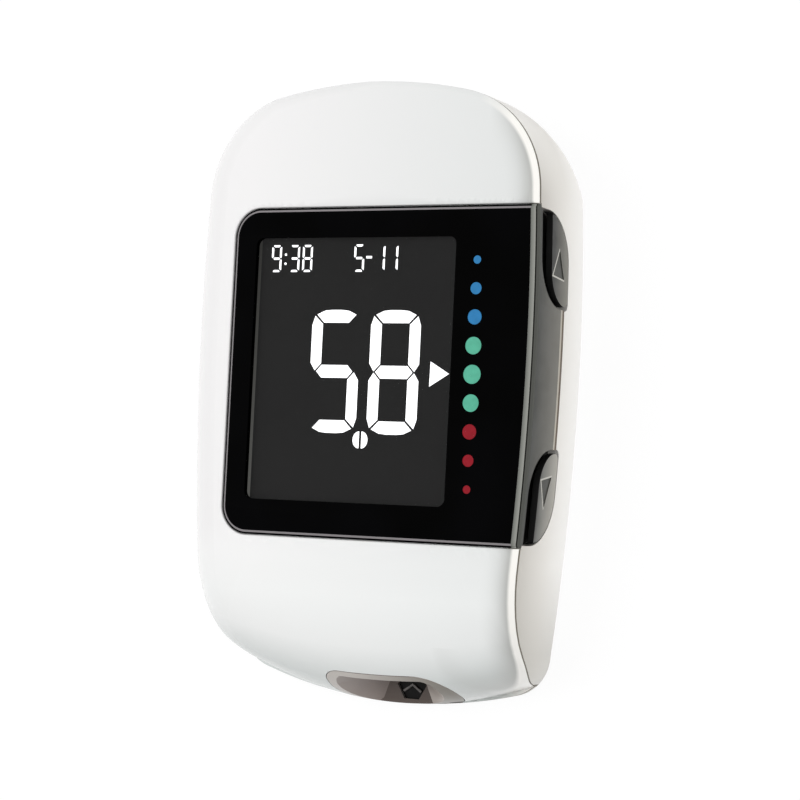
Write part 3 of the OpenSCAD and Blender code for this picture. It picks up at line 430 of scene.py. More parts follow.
def moulded(name, colour, roughness, mottle=0.03, texture=0.004, grain=5, **constants):
    """Moulded plastic: a little uneven in colour and gloss, with its mould's skin."""
    material, spot = finish(name, roughness, **constants)
    darker = tuple(c * (1 - mottle) for c in colour[:3]) + (1,)
    paint(material, "Base Color", cloud(spot, 0.09).mix(colour, darker))
    paint(material, "Roughness", roughness * (0.92 + 0.16 * cloud(spot, 0.3)))
    mould_skin(material, spot, grain, texture)
    return material


WINDOW_LEFT, WINDOW_Y, WINDOW_REACH, WINDOW_R, WINDOW_BACK_Z = -18, 2.4, 20.6, 3.7, 14.5


def window_outline(grow, right=RIGHT_X + 2):
    """The window's outline, which runs out at the meter's right side."""
    r, left = WINDOW_R + grow, WINDOW_LEFT - grow
    low, high = WINDOW_Y - WINDOW_REACH - grow, WINDOW_Y + WINDOW_REACH + grow
    turns = [math.radians(90 * k / 16) for k in range(17)]
    return ([(right, low)] + [(left + r - r * math.sin(t), low + r - r * math.cos(t)) for t in turns]
            + [(left + r - r * math.cos(t), high - r + r * math.sin(t)) for t in turns] + [(right, high)])


def flared(outline, steps):
    """A solid whose outline widens as it rises: pairs of height and growth."""
    return loft([[(x, y, z) for x, y in outline(grow)] for z, grow in steps])


def spun(profile, degrees, steps, start=0.0):
    """A profile of (radius, height) turned about the middle of the right side's long arc."""
    solid = bmesh.new()
    first = math.radians(start)
    corners_of = [solid.verts.new((right_hub.x + r * math.cos(first), right_hub.y + r * math.sin(first), z))
                  for r, z in profile]
    face = solid.faces.new(corners_of)
    bmesh.ops.spin(solid, geom=[face, *face.edges, *face.verts], cent=(*right_hub, 0), axis=(0, 0, 1),
                   angle=math.radians(degrees), steps=steps, use_duplicate=False)
    if not face.is_valid:
        solid.faces.new(corners_of)
    bmesh.ops.remove_doubles(solid, verts=solid.verts, dist=1e-5)
    bmesh.ops.recalc_face_normals(solid, faces=solid.faces)
    return solid


def side_slab(shallow, deep, low, high):
    """A slab that follows the bowed right side."""
    outer, inside = SIDE_R - shallow, SIDE_R - deep
    return spun([(outer, low), (outer, high), (inside, high), (inside, low)], 9, 72, -5)


# The band between window and case in the right wall, and the well at each of its ends.
BAND_Y, BAND_Z, BAND_T, WELL_LOW, WELL_HIGH, WELL_TIP, WELL_END = 2.4, 7.1, 2.4, 6.15, 14.1, 8.5, 20.1


def rounded_corners(corners_in, radii, steps=14):
    """An outline with its corners rounded."""
    outline = []
    for i, (corner, r) in enumerate(zip(corners_in, radii)):
        corner = Vector(corner)
        before = (Vector(corners_in[i - 1]) - corner).normalized()
        after = (Vector(corners_in[(i + 1) % len(corners_in)]) - corner).normalized()
        if not r:
            outline.append(tuple(corner))
            continue
        half = before.angle(after) / 2
        hub = corner + (before + after).normalized() * r / math.sin(half)
        foot = corner + before * r / math.tan(half) - hub
        goal = corner + after * r / math.tan(half) - hub
        sweep = math.atan2(foot.x * goal.y - foot.y * goal.x, foot.dot(goal))
        for k in range(steps + 1):
            turned = Matrix.Rotation(sweep * k / steps, 2) @ foot
            outline.append((hub.x + turned.x, hub.y + turned.y))
    return outline


def on_side(outline, side, low=RIGHT_X - 5, high=RIGHT_X + 3):
    """A drawing on the right side wall, raised along the wall's outward direction."""
    return prism(outline, low, high, lambda v, z, x: (x, BAND_Y + side * v, z))


def band(grow):
    """The band between window and case, with the lobe of a well at each end."""
    tip, end, low, middle = WELL_TIP - grow, WELL_END + grow, WELL_LOW - grow, BAND_Z - grow
    half = [(tip, middle), (tip, low), (end, low), (end, THICK + 1)]
    radii = [0, BAND_Z - WELL_LOW - 0.02, 6 + grow, 0]
    return on_side(rounded_corners(half + [(-v, z) for v, z in reversed(half)], radii + radii[::-1]), 1)


PORT_X, PORT_H = 3, 9.9
at_port = Matrix.Translation((PORT_X - 0.5, LOW_Y + 3.88, 9.94)) @ Matrix.Rotation(math.radians(54), 4, "X")


def port_outline(grow, left=-7.9, right=9.45, radii=(6.8, 4.93, 4.93, 2.4), down=0.0):
    """The strip port's outline, across and up along the rolled chin: a slim leaf, fuller at its right."""
    left, right, low = left - grow, right + grow, -PORT_H - grow - down
    return rounded_corners([(left, low), (right, low), (right, grow), (left, grow)],
                           [r + grow for r in radii], 24)


def port_prism(outline, low, high):
    return prism(outline, low, high, lambda x, y, z: at_port @ Vector((x, y, z)))


EJECTOR_Y = -10
at_ejector = (Matrix.Translation((-side_x(EJECTOR_Y), EJECTOR_Y, 0))
              @ Matrix.Rotation(math.asin((WIDEST_Y - EJECTOR_Y) / SIDE_R), 4, "Z"))


def by_ejector(low, high):
    solid = block(low, high)
    solid.transform(at_ejector)
    return solid


SKIRT_GAP, SKIRT_T = 0.1, 1
skirt_out = WALL + SKIRT_GAP
inner = skirt_out + SKIRT_T


def skirt_end(s):
    """How low the cover's skirt reaches into the rear case."""
    return skin_z(s, 0) - SEAM - 2 * min(1.0, max(0.0, (skin_z(s, 0) - 5) / 6))


def outer_rings():
    """The cover's outside, ring by ring from the seam over the edge roll to the middle of the window."""
    where_face_begins = lambda s: roll_width(s[2])
    shares = [0.598 + 0.402 * math.sin(math.radians(85 - 85 * k / 20)) for k in range(21)]
    return ([skin_ring(k / 12) for k in range(1, 13)]
            + [face_ring(share, where_face_begins) for share in [*shares, 0.4]])


inner_inset = lambda s: max(inner, roll_width(s[2]))
cover = loft([face_ring(f, inner_inset, COVER_WALL) for f in (0.4, 0.6, 0.7, 0.78, 0.85, 0.91, 0.96)]
             + [ring(inner, lambda s: face_z(place(s, inner) - Vector((0, 0.8 * COVER_WALL)))
                     - COVER_WALL + skin_z(s, inner) - face_z(place(s, inner)))]
             + [ring(inner, skirt_end), ring(skirt_out, skirt_end), ring(skirt_out, lambda s: skin_z(s, 0))]
             + [ring(0.12, lambda s: skin_z(s, 0)), ring(0.03, lambda s: skin_z(s, 0) + 0.02)]
             + outer_rings())
LEDGE_LOW, LEDGE_W = 13.2, 1.2
ledge = worked(flared(lambda g: window_outline(LEDGE_W), [(LEDGE_LOW, 0), (WINDOW_BACK_Z, 0)]),
               ("keep", loft([ring(skirt_out, lambda s: 13.0), ring(skirt_out, lambda s: 15.0)])))
window_bed = flared(window_outline, [(WINDOW_BACK_Z, 0), (15.14, 0), (15.22, 0.03), (15.28, 0.1),
                                     (15.34, 0.2), (16, 0.5)])
FRAME_X, FRAME_Y, FRAME_W, FRAME_H = -0.7, 2.75, 30.6, 36.2
cover = worked(
    cover, ("join", ledge), ("cut", window_bed),
    ("cut", block((FRAME_X - FRAME_W / 2, FRAME_Y - FRAME_H / 2, 12),
                  (FRAME_X + FRAME_W / 2, FRAME_Y + FRAME_H / 2, 15))),
    ("cut", worked(side_slab(-2, BAND_T + 0.3, BAND_Z, THICK + 1), ("keep", band(0.1)))),
    ("cut", port_prism(port_outline(0.1), -6.5, 6)),
    ("cut", block((PORT_X - 4.5, LOW_Y + 3.65, 7.1), (PORT_X + 4.5, LOW_Y + 6.8, 8.95))),
    ("cut", by_ejector((0.5, -12.6, 6), (inner + 1, 9.1, 10.2))))
cover_white = moulded("cover_white", linear(240, 241, 241), 0.24, texture=0.002, grain=3,
                      Coat_Weight=0.25, Coat_Roughness=0.12, Specular_IOR_Level=0.45)
across, along, up = axes(drawing_spot(cover_white))
depth = side_depth(across, along)
# Painted shade: the face darkens from left to right, and the chin darkens towards its lower end.
white = spread(across, -16, 20).mix(linear(240, 239, 239), linear(224, 226, 225))
chin = spread(across, -14, 16).mix(linear(247, 248, 247), linear(240, 242, 241))
chin = spread(up, 12.6, 8.5).mix(chin, linear(214, 219, 217))
white = spread(along, -17, -25).mix(white, chin)
# Painted shade in a band along the right edge roll, and a painted highlight on the roll's outermost edge.
near_side = spread(depth, 5, 1.1)
to_right = larger(spread(along, -18, -30) * spread(across, 11, 19), spread(across, 17, 22))
shaded = near_side * near_side * to_right
roll_painted_shade = shaded.mix(white, linear(184, 185, 182))
painted_highlight = spread(depth, 0.95, 0.6) * spread(across, 15.5, 20)
paint(cover_white, "Base Color", painted_highlight.mix(roll_painted_shade, linear(250, 248, 243)))
piece("front_cover_shell", cover, cover_white, "meter", "cover_white", "front_cover", sharp=38)

# ---- Rear case ----
# The warm white shell that carries the board, the cells and the side walls. Its rim meets the cover in a
# fine seam, and its back has the battery door's opening, the screw holes and a thumb recess.


def back_roll(turn):
    return 1.9 + 7.9 * max(0.0, math.sin(turn)) - 1.5 * max(0.0, -math.sin(turn))


def back_ring(k, inset=0.0, lift=0.0, steps=12):
    """A ring of the rounded back edge, from the flat back (0) up to the side wall (steps)."""
    turn = math.radians(90 * k / steps)
    r = lambda s: max(back_roll(s[2]) - inset, 0.1) if inset else back_roll(s[2])
    return ring(lambda s: inset + r(s) * (1 - math.sin(turn)), lambda s: lift + r(s) * (1 - math.cos(turn)))


def rim(drop):
    """Height of the case's rim under the seam."""
    return lambda s: skin_z(s, 0) - SEAM - drop


FLOOR_T = 1.2
case = loft([back_ring(k) for k in range(13)]
            + [ring(0, rim(0.3)), ring(0.1, rim(0.04)), ring(0.16, rim(0)), ring(WALL, rim(0))]
            + [back_ring(k, WALL, FLOOR_T, 6) for k in range(6, -1, -1)])


def bore(x, y, low, high, d, sides=64):
    """A round solid that stands on the back's plane."""
    turns = [2 * math.pi * k / sides for k in range(sides)]
    return prism([(x + d / 2 * math.cos(t), y + d / 2 * math.sin(t)) for t in turns], low, high)


def rounded_box(w, h, r, x=0.0, y=0.0, steps=10):
    return rounded_corners([(x - w / 2, y - h / 2), (x + w / 2, y - h / 2), (x + w / 2, y + h / 2),
                            (x - w / 2, y + h / 2)], [r] * 4, steps)


CELL_X, CELL_Y, CUP_D, POCKET_D = 10.5, -7, 22.5, 20.5
SCREWS_Y, BOSS_D, BOSS_LOW, BOSS_TOP = (3.6, -17.6), 5, 0.6, 6
steps = [("join", bore(x, CELL_Y, BOSS_LOW, BOSS_TOP, CUP_D, 96)) for x in (-CELL_X, CELL_X)]
steps += [("join", bore(0, y, BOSS_LOW, BOSS_TOP, BOSS_D)) for y in SCREWS_Y]
steps += [("join", by_ejector((1, 14.55, 7.1), (3.5, 15.55, 8.5))),
          ("join", block((-1.2, SCREWS_Y[1], BOSS_LOW), (1.2, SCREWS_Y[0], BOSS_TOP)))]
for x in (-CELL_X, CELL_X):
    steps += [("cut", bore(x, CELL_Y, 1.19, 5.2, POCKET_D, 96)),
              ("cut", block((x - 2, -11, 4.2), (x + 2, -3, 7))),
              ("cut", block((x - 1.8, 2.8, 1.2), (x + 1.8, 3.6, 7)))]
DOOR_W, DOOR_L, DOOR_R = 42, 26.2, 4.1
door_opening = flared(lambda g: rounded_box(DOOR_W + 2 * g, DOOR_L + 2 * g, DOOR_R + g, 0, CELL_Y),
                      [(-1, 0.5), (-0.02, 0.16), (0.04, 0.06), (0.14, 0), (1.2, 0)])
steps += [("cut", door_opening),
          ("cut", flared(window_outline, [(14.4, 0.1), (19, 0.1)]))]
for y in SCREWS_Y:
    steps += [("cut", bore(0, y, -1, 7, 1.9)), ("cut", bore(0, y, -1, 3.4, 3.4))]
THUMB_Y, THUMB_Z, THUMB_R = 7.2, -0.6, 1.4
round_turns = [2 * math.pi * k / 48 for k in range(48)]
thumb = prism([(THUMB_Z + THUMB_R * math.sin(t), THUMB_Y + THUMB_R * math.cos(t)) for t in round_turns],
              -5, 5, lambda z, y, x: (x, y, z))
USB_W, USB_H, USB_Z = 8.5, 3.4, 8.3
steps += [("cut", thumb), ("cut", band(0.1)),
          ("cut", by_ejector((-1, -7.7, 6.2), (2, 4.2, 9.2))),
          ("cut", prism(rounded_box(USB_W, USB_H, 0.8, 0, USB_Z), TOP_Y - 4, TOP_Y + 2,
                        lambda x, z, y: (x, y, z)))]
case_white, spot = finish("case_white", 0.36)
across, along, up = axes(spot)
# Painted shade: the wall darkens from its foot to the seam, which falls with the chin, is lighter at the top
# end, and is darker towards the lower end.
fall = larger((CHIN_Y - along) / (CHIN_Y - LOW_Y), 0.0)
height = 13.7 * up / (1.2 + 12.5 * root(larger(1 - fall * fall, 0.0)))
foot_tone = spread(height, 1, 7.5).mix(linear(252, 251, 248), linear(225, 222, 216))
seam_tone = spread(along, 24, 33).mix(linear(188, 184, 176), linear(236, 234, 229))
warm = spread(height, 7.5, 14.9).mix(foot_tone, seam_tone)
paint(case_white, "Base Color", (0.6 * spread(along, -20, -31)).mix(warm, linear(176, 173, 165)))
paint(case_white, "Roughness", 0.34 + 0.05 * cloud(spot, 0.3))
mould_skin(case_white, spot, 4, 0.004)
seam_shade = moulded("seam_shade", linear(104, 98, 86), 0.5)
seam = kdtree.KDTree(4 * len(stations))
seam_line = [(Vector(low) + Vector(high)) / 2 for low, high in zip(ring(0, rim(0.3)), ring(0.1, rim(0.04)))]
for before, after in zip(seam_line, seam_line[1:] + seam_line[:1]):
    for k in range(4):
        seam.insert(before.lerp(after, k / 4), k)
seam.balance()
piece("rear_case_shell", worked(case, *steps), case_white, "meter", "case_white", "rear_case", sharp=38,
      coats=[(seam_shade, lambda c: seam.find(c)[2] < 0.25)])

# ---- Display window ----
# Black gloss acrylic, printed from behind except over the display and the range marks. It sits on a step
# in the cover, its polished bevel has a painted highlight, and its right edge rolls over like the cover's,
# with painted reflection.
quarter = [math.radians(90 * k / 12) for k in range(13)]
rolled_over = ([(SIDE_R - 50, THICK), (SIDE_R - 50, WINDOW_BACK_Z), (SIDE_R, WINDOW_BACK_Z)]
               + [(SIDE_R - EDGE_W * (1 - math.cos(t)), THICK - EDGE_H * (1 - math.sin(t))) for t in quarter])
window = worked(flared(window_outline, [(WINDOW_BACK_Z, -0.1), (15.0, -0.1), (15.02, -0.3), (15.16, -0.32),
                                        (15.3, -0.6), (16, -0.6)]), ("keep", spun(rolled_over, 12, 96, -6.5)))
window_black, spot = finish("window_black", 0.06, IOR=1.49, Specular_IOR_Level=0.02)
across, along, up = axes(spot)
VIEW_X, VIEW_Y, VIEW_W, VIEW_H, VIEW_R = -0.69, 2.76, 28.0, 32.8, 1.0
dx = larger(abs(across - VIEW_X) - (VIEW_W / 2 - VIEW_R), 0.0)
dy = larger(abs(along - VIEW_Y) - (VIEW_H / 2 - VIEW_R), 0.0)
over_display = root(dx * dx + dy * dy) < VIEW_R + 0.05 * (up < 15.0)
MARK_X, MARK_Y, MARK_PITCH = 16.2, 2.42, 3.46
count = up.sum("ROUND", (along - MARK_Y) / MARK_PITCH)
share = abs(count) / 4


def mark_radius(share):
    """The marks shrink from the middle one (0) to the outer ones (1)."""
    return 1.15 - 0.65 * (0.45 * share + 0.55 * share * share)


mark_dx, mark_dy = across - MARK_X, along - (MARK_Y + MARK_PITCH * count)
from_mark = root(mark_dx * mark_dx + mark_dy * mark_dy)
over_mark = (from_mark < mark_radius(share) + 0.02) * (share < 1.1)
paint(window_black, "Alpha", 1 - 0.97 * larger(over_display, over_mark))
paint(window_black, "Roughness", 0.05 + 0.05 * cloud(spot, 0.12, detail=4))
depth = side_depth(across, along)
black = cloud(spot, 0.1).mix(linear(1, 1, 1), linear(3, 3, 4))
# Painted highlight on the bevel; over the right roll, painted reflection: a light band, a dark strip and a
# light line at the very edge.
bevel_painted_highlight = ((up > 15.17) * (up < 15.295)).mix(black, linear(138, 134, 136))
roll_painted_reflection = spread(depth, 1.02, 0.4).mix(linear(112, 114, 109), linear(154, 155, 149))
rolled = (depth < 1.02).mix(bevel_painted_highlight, roll_painted_reflection)
edged = (depth < 0.4).mix(rolled, linear(28, 28, 26))
paint(window_black, "Base Color", (depth < 0.24).mix(edged, linear(84, 85, 81)))
piece("window_plate", window, window_black, "meter", "window", "display_window", sharp=30)

# ---- Range marks ----
# Nine round windows in the print of the acrylic, three each in blue, green and red, which glow as painted
# light. The acrylic lifts them to the eye, so that they stand just under its face.
def gathered(solids):
    """Several separate solids as one."""
    whole = bmesh.new()
    for solid in solids:
        mesh = bpy.data.meshes.new("part")
        solid.to_mesh(mesh)
        solid.free()
        whole.from_mesh(mesh)
        bpy.data.meshes.remove(mesh)
    return whole


mark_painted_glow, spot = finish("mark_colours", 0.4, Emission_Strength=0.8, Specular_IOR_Level=0.2)
across, along, up = axes(spot)
colours = (along > MARK_Y + 1.5 * MARK_PITCH).mix(
    (along > MARK_Y - 1.5 * MARK_PITCH).mix(linear(142, 12, 30), linear(88, 177, 149)), linear(44, 122, 177))
soft = spot.node("ShaderNodeMix", {"data_type": "RGBA", "blend_type": "MULTIPLY"},
                 {0: 0.12, 6: colours, 7: cloud(spot, 1.2)}, out=2)
paint(mark_painted_glow, "Base Color", spot.node("ShaderNodeMix", {"data_type": "RGBA", "blend_type": "MULTIPLY"},
                                         {0: 1.0, 6: soft, 7: (0.3, 0.3, 0.3, 1)}, out=2))
# The marks' colour also glows: painted light, since no lamp stands behind them.
paint(mark_painted_glow, "Emission Color", soft)
marks = gathered([bore(MARK_X, MARK_Y + MARK_PITCH * k, 15.19, 15.25, 2 * mark_radius(abs(k) / 4))
                  for k in range(-4, 5)])
piece("mark_prints", marks, mark_painted_glow, "meter", "marks", "range_marks")

# ---- Side insert ----
# A dark satin moulding let into the right wall between window and case, with a well for each button and
# a hole in each well for the button's stem.
def wall_depth(point):
    """How deep a point lies under the bowed right side wall."""
    return SIDE_R - (point.xy - right_hub).length


WELL_DEEP, WELL_FAR, STEM_AT = 1.3, 22.1, (14.4, 8.92)
well = rounded_corners([(WELL_TIP, 4.6), (WELL_FAR, 4.6), (WELL_FAR, WELL_HIGH), (WELL_TIP, WELL_HIGH)],
                       [0, 0, 0, 6])
stem_hole = rounded_box(6.64, 2.44, 0.72, *STEM_AT)
insert = worked(
    worked(side_slab(0, BAND_T, 5, WINDOW_BACK_Z), ("keep", band(0))),
    *[("cut", worked(side_slab(-2, WELL_DEEP, 4, 14.9), ("keep", on_side(well, side)))) for side in (1, -1)],
    *[("cut", on_side(stem_hole, side)) for side in (1, -1)])
insert_dark, spot = finish("insert_dark", 0.36, Specular_IOR_Level=0.2)
across, along, up = axes(spot)
# Painted reflection: the moulding lightens from the window down to its back edge, which has a painted
# highlight line and below it a line of painted shade in the gap to the case.
fade = spread(up, 14.6, 7.6)
insert_painted_reflection = (up < 8.0).mix(fade.mix(linear(48, 49, 46), linear(112, 110, 103)), linear(174, 168, 156))
paint(insert_dark, "Base Color", (up < 7.55).mix(insert_painted_reflection, linear(92, 78, 64)))
paint(insert_dark, "Roughness", 0.3 + 0.12 * cloud(spot, 0.4))
# Painted shade: the faces deep in the wells, and the buttons' flanks, are painted near black.
well_painted_shade = moulded("well_painted_shade", linear(9, 9, 9), 0.5, texture=0.006)
piece("side_trim", insert, insert_dark, "meter", "dark_trim", "side_insert", ease=0.08, sharp=30,
      coats=[(well_painted_shade, lambda c: wall_depth(c) > 0.2)])

# ---- Buttons ----
# Two leaf-shaped caps, moulded in grey with a sunk triangle each. Their flanks are painted dark as shade, and
# their stems reach through the insert to a flange that keeps them in.
def leaf(tip, end, low, high, front_r, back_r):
    """The outline of a well or button on the side wall: distance from the band's middle, and height."""
    return rounded_corners([(tip, low), (end, low), (end, high), (tip, high)], [1, back_r, 0, front_r])


TRIANGLES = {1: [(15.7, 8.8), (12.5, 10.65), (12.2, 7.4)], -1: [(15.6, 9.2), (12.3, 10.6), (11.8, 7.7)]}
# Painted shade: each button's greys run dark at the front to light at the back, and the up button is painted
# darker than the down one.
BUTTON_SHADE_GREYS = {1: [(26, 26, 24), (44, 44, 42), (120, 118, 110)],
                -1: [(62, 62, 59), (98, 98, 94), (164, 161, 153)]}


def button_finish(name, side):
    """Satin grey with painted shade that lightens towards the back, a painted highlight line round two sides
    of the triangle, and the triangle darker inside.
    """
    grey, spot = finish(name, 0.38, Specular_IOR_Level=0.25)
    across, along, up = axes(spot)
    aside = side * (along - BAND_Y)
    tip, front, back = TRIANGLES[side]
    beyond = []
    for (v0, z0), (v1, z1) in ((tip, front), (front, back), (back, tip)):
        length = math.hypot(v1 - v0, z1 - z0)
        beyond.append((aside - v0) * ((z1 - z0) / length) - (up - z0) * ((v1 - v0) / length))
    inside = beyond[2] < 0.0
    near = larger(beyond[0], beyond[1])
    dark, middle, light = BUTTON_SHADE_GREYS[side]
    upper = spread(up, 11.1, 10.3).mix(linear(*dark), linear(*middle))
    shade = spread(up, 10.3, 6.4).mix(upper, linear(*light))
    triangle_painted_highlight = (inside * (near < 0.2)).mix(shade, linear(186, 184, 176))
    paint(grey, "Base Color", (inside * (near < 0.0)).mix(triangle_painted_highlight, linear(62, 62, 58)))
    paint(grey, "Roughness", 0.34 + 0.12 * cloud(spot, 0.5))
    return grey


for side, way in ((1, "up"), (-1, "down")):
    cap = leaf(8.9, WELL_END - 0.12, 6.27, 11.1, 4.26, 5.88)
    face = worked(side_slab(0, 0.8, 6.15, 14.1), ("keep", on_side(cap, side)))
    stem = worked(side_slab(0.4, 2.58, 0, THICK),
                  ("keep", on_side(rounded_box(6.4, 2.2, 0.6, *STEM_AT), side)))
    flange = worked(side_slab(2.48, 3.18, 7.1, THICK),
                    ("keep", on_side(rounded_box(7.6, 3.4, 1.2, *STEM_AT), side)))
    engraving = worked(side_slab(-2, 0.1, 5, 13),
                       ("keep", on_side(rounded_corners(TRIANGLES[side], [0.12] * 3, 4), side)))
    cap = worked(face, ("join", stem), ("join", flange), ("cut", engraving))
    piece(way + "_key_cap", cap, button_finish(way + "_button_grey", side), way + "_key", "button_grey",
          way + "_button", ease=0.09, sharp=30, coats=[(well_painted_shade, lambda c: wall_depth(c) > 0.13)])

# ---- Strip port ----
# A brown-grey moulded bezel let into the chin. Its funnel leads a test strip into the connector, and a
# small six-sided recess with a raised chevron is sunk in the funnel's floor.
RIM = 0.95
envelope = loft([ring(0, lambda s: 0.0), ring(0, lambda s: skin_z(s, 0))] + outer_rings())
bezel = worked(port_prism(port_outline(0), -6, 6), ("keep", envelope),
               ("keep", worked(port_prism(port_outline(1), -2.6, 6),
                               ("join", block((-RIGHT_X, LOW_Y - 1, CHIN_LIP),
                                              (RIGHT_X, LOW_Y + 5.25, 5.8))))),
               ("keep", block((-RIGHT_X, LOW_Y - 1, CHIN_LIP), (RIGHT_X, 0, THICK))),
               ("join", block((PORT_X - 4.4, LOW_Y + 3.75, 7.1), (PORT_X + 4.4, LOW_Y + 6.7, 8.85))))
funnel = bmesh.new()
for x, y in port_outline(-RIM, -8.8, 10.05, (7.25, 5.85, 4.1, 2.5), 0.7):
    funnel.verts.new(at_port @ Vector((x, y, 1.0)))
FUNNEL_Y, FUNNEL_Z, RECESS_D, RECESS_T = LOW_Y + 0.55, 2.6, 4.1, 0.45
SLOT_REACH, SLOT_LOW, SLOT_TOP, SLOT_Y = 3.6, 7.5, 8.4, 4.75
for x, y, z in ((-3.1, 0.55, FUNNEL_Z), (3.1, 0.55, FUNNEL_Z), (-1.9, 4.05, FUNNEL_Z), (2.2, 4.05, FUNNEL_Z),
                (-SLOT_REACH, SLOT_Y, SLOT_LOW), (SLOT_REACH, SLOT_Y, SLOT_LOW),
                (-SLOT_REACH, SLOT_Y, SLOT_TOP), (SLOT_REACH, SLOT_Y, SLOT_TOP)):
    funnel.verts.new((PORT_X + x, LOW_Y + y, z))
bmesh.ops.convex_hull(funnel, input=funnel.verts)
recess_x, recess_y = PORT_X + 0.8, FUNNEL_Y + 0.1 + RECESS_D / 2 * math.cos(math.radians(30))
hexagon = [(recess_x + RECESS_D / 2 * math.cos(t), recess_y + RECESS_D / 2 * math.sin(t))
           for t in (math.pi * k / 3 for k in range(6))]
chevron = [(recess_x + x, recess_y + 0.15 + y) for x, y in
           ((0, 0), (-1.3, -0.9), (-1.15, -1.1), (0, -0.28), (1.15, -1.1), (1.3, -0.9))]
bezel = worked(bezel, ("cut", funnel),
               ("cut", block((PORT_X - SLOT_REACH, LOW_Y + 3.75, SLOT_LOW),
                             (PORT_X + SLOT_REACH, LOW_Y + 7.8, SLOT_TOP))),
               ("cut", prism(hexagon, FUNNEL_Z - RECESS_T, FUNNEL_Z + 0.5)),
               ("join", prism(chevron, FUNNEL_Z - RECESS_T - 0.1, FUNNEL_Z - 0.1)))
bezel_brown, rim_beige = finish("bezel_brown", 0.34)[0], finish("rim_beige", 0.3)[0]
# Painted shade: the bezel and its rim darken towards the right, a little unevenly.
for paint_on, left, right, low, high in ((bezel_brown, (154, 145, 140), (118, 107, 102), -4, 0.5),
                                         (rim_beige, (192, 186, 180), (116, 110, 100), -1, 11.5)):
    spot = drawing_spot(paint_on)
    right_painted_shade = spread(axes(spot)[0] + 0.5 * cloud(spot, 0.3), low, high)
    paint(paint_on, "Base Color", right_painted_shade.mix(linear(*left), linear(*right)))
floor_brown = moulded("floor_brown", linear(78, 67, 61), 0.4)
recess_black = moulded("recess_black", linear(11, 10, 9), 0.4, Specular_IOR_Level=0.15)
# Painted highlight on the chevron, and painted light on the funnel's right facet.
chevron_painted_highlight = moulded("chevron_painted_highlight", linear(96, 92, 90), 0.4)
facet_painted_light = moulded("facet_painted_light", linear(170, 161, 154), 0.34)
piece("port_funnel", bezel, bezel_brown, "meter", "bezel_brown", "port_bezel", sharp=30, coats=[
    (chevron_painted_highlight, lambda c: c.z > FUNNEL_Z - RECESS_T + 0.05 and c.z < FUNNEL_Z - 0.04),
    (recess_black, lambda c: c.z < FUNNEL_Z - 0.04),
    (floor_brown, lambda c: c.z < FUNNEL_Z + 0.15),
    (rim_beige, lambda c: c.z > face_z(c) - 0.55),
    (facet_painted_light, lambda c: c.x > PORT_X + 3.4)])

# ---- Display ----
# A dark liquid-crystal glass on its light guide. Its lit segments show plain numbers.
display_dark, spot = finish("display_dark", 0.5, Specular_IOR_Level=0.1, Emission_Strength=0.7)
across, along, up = axes(spot)
dark = cloud(spot, 0.05).mix(linear(37, 37, 37), linear(35, 35, 35))
paint(display_dark, "Base Color", cloud(spot, 0.05).mix(linear(13, 13, 13), linear(11, 11, 11)))
# Painted light: a light strip along the display's left edge, brighter towards the lower end.
edge_painted_light = spread(along, 18, -12).mix(linear(62, 62, 60), linear(98, 98, 95))
paint(display_dark, "Emission Color", (across < VIEW_X - VIEW_W / 2 + 0.28).mix(dark, edge_painted_light))


def dress(node, material):
    """A CAD node that keeps its shape and gets a material."""
    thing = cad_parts[node]
    thing.data.materials.clear()
    thing.data.materials.append(material)


dress("display_glass", display_dark)
segment_white, spot = finish("segment_white", 0.5, Emission_Strength=0.9)
even = cloud(spot, 0.8).mix(linear(255, 255, 255), linear(246, 247, 250))
paint(segment_white, "Base Color", even)
paint(segment_white, "Emission Color", even)

SEGMENTS = {"1": "BC", "3": "ABGCD", "5": "AFGCD", "8": "ABCDEFG", "9": "AFGBCD"}
DISPLAY_Z = 14.35
flakes = []


def flake(outline):
    """A flat lit shape on the glass."""
    flakes.append(prism(outline, DISPLAY_Z, DISPLAY_Z + 0.02))


def digit(sign, x, y, w, h, t, gap, bow):
    """One seven-segment digit, its lower left corner at (x, y)."""
    m, cut = h / 2, t * 0.32
    a = [(cut + gap, h - cut), (1.15 * t, h), (1.8 * t, h + bow), (w - 1.8 * t, h + bow), (w - 1.15 * t, h),
         (w - cut - gap, h - cut), (w - t - gap, h - t), (t + gap, h - t)]
    f = [(0, h - t * 1.2), (cut - gap / 2, h - cut - gap), (t, h - t - gap), (t, m + t * 0.55 + gap),
         (t * 0.42, m + gap / 2), (0, m + t * 0.7)]
    g = [(t * 0.46 + gap, m), (t + gap / 2, m + t * 0.53), (w - t - gap / 2, m + t * 0.53),
         (w - t * 0.46 - gap, m), (w - t - gap / 2, m - t * 0.53), (t + gap / 2, m - t * 0.53)]
    flip_x = lambda shape: [(w - u, v) for u, v in shape]
    flip_y = lambda shape: [(u, h - v) for u, v in shape]
    shapes = {"A": a, "B": flip_x(f), "C": flip_y(flip_x(f)), "D": flip_y(a), "E": flip_y(f), "F": f, "G": g}
    for name in SEGMENTS[sign]:
        flake([(x + u, y + v) for u, v in shapes[name]])


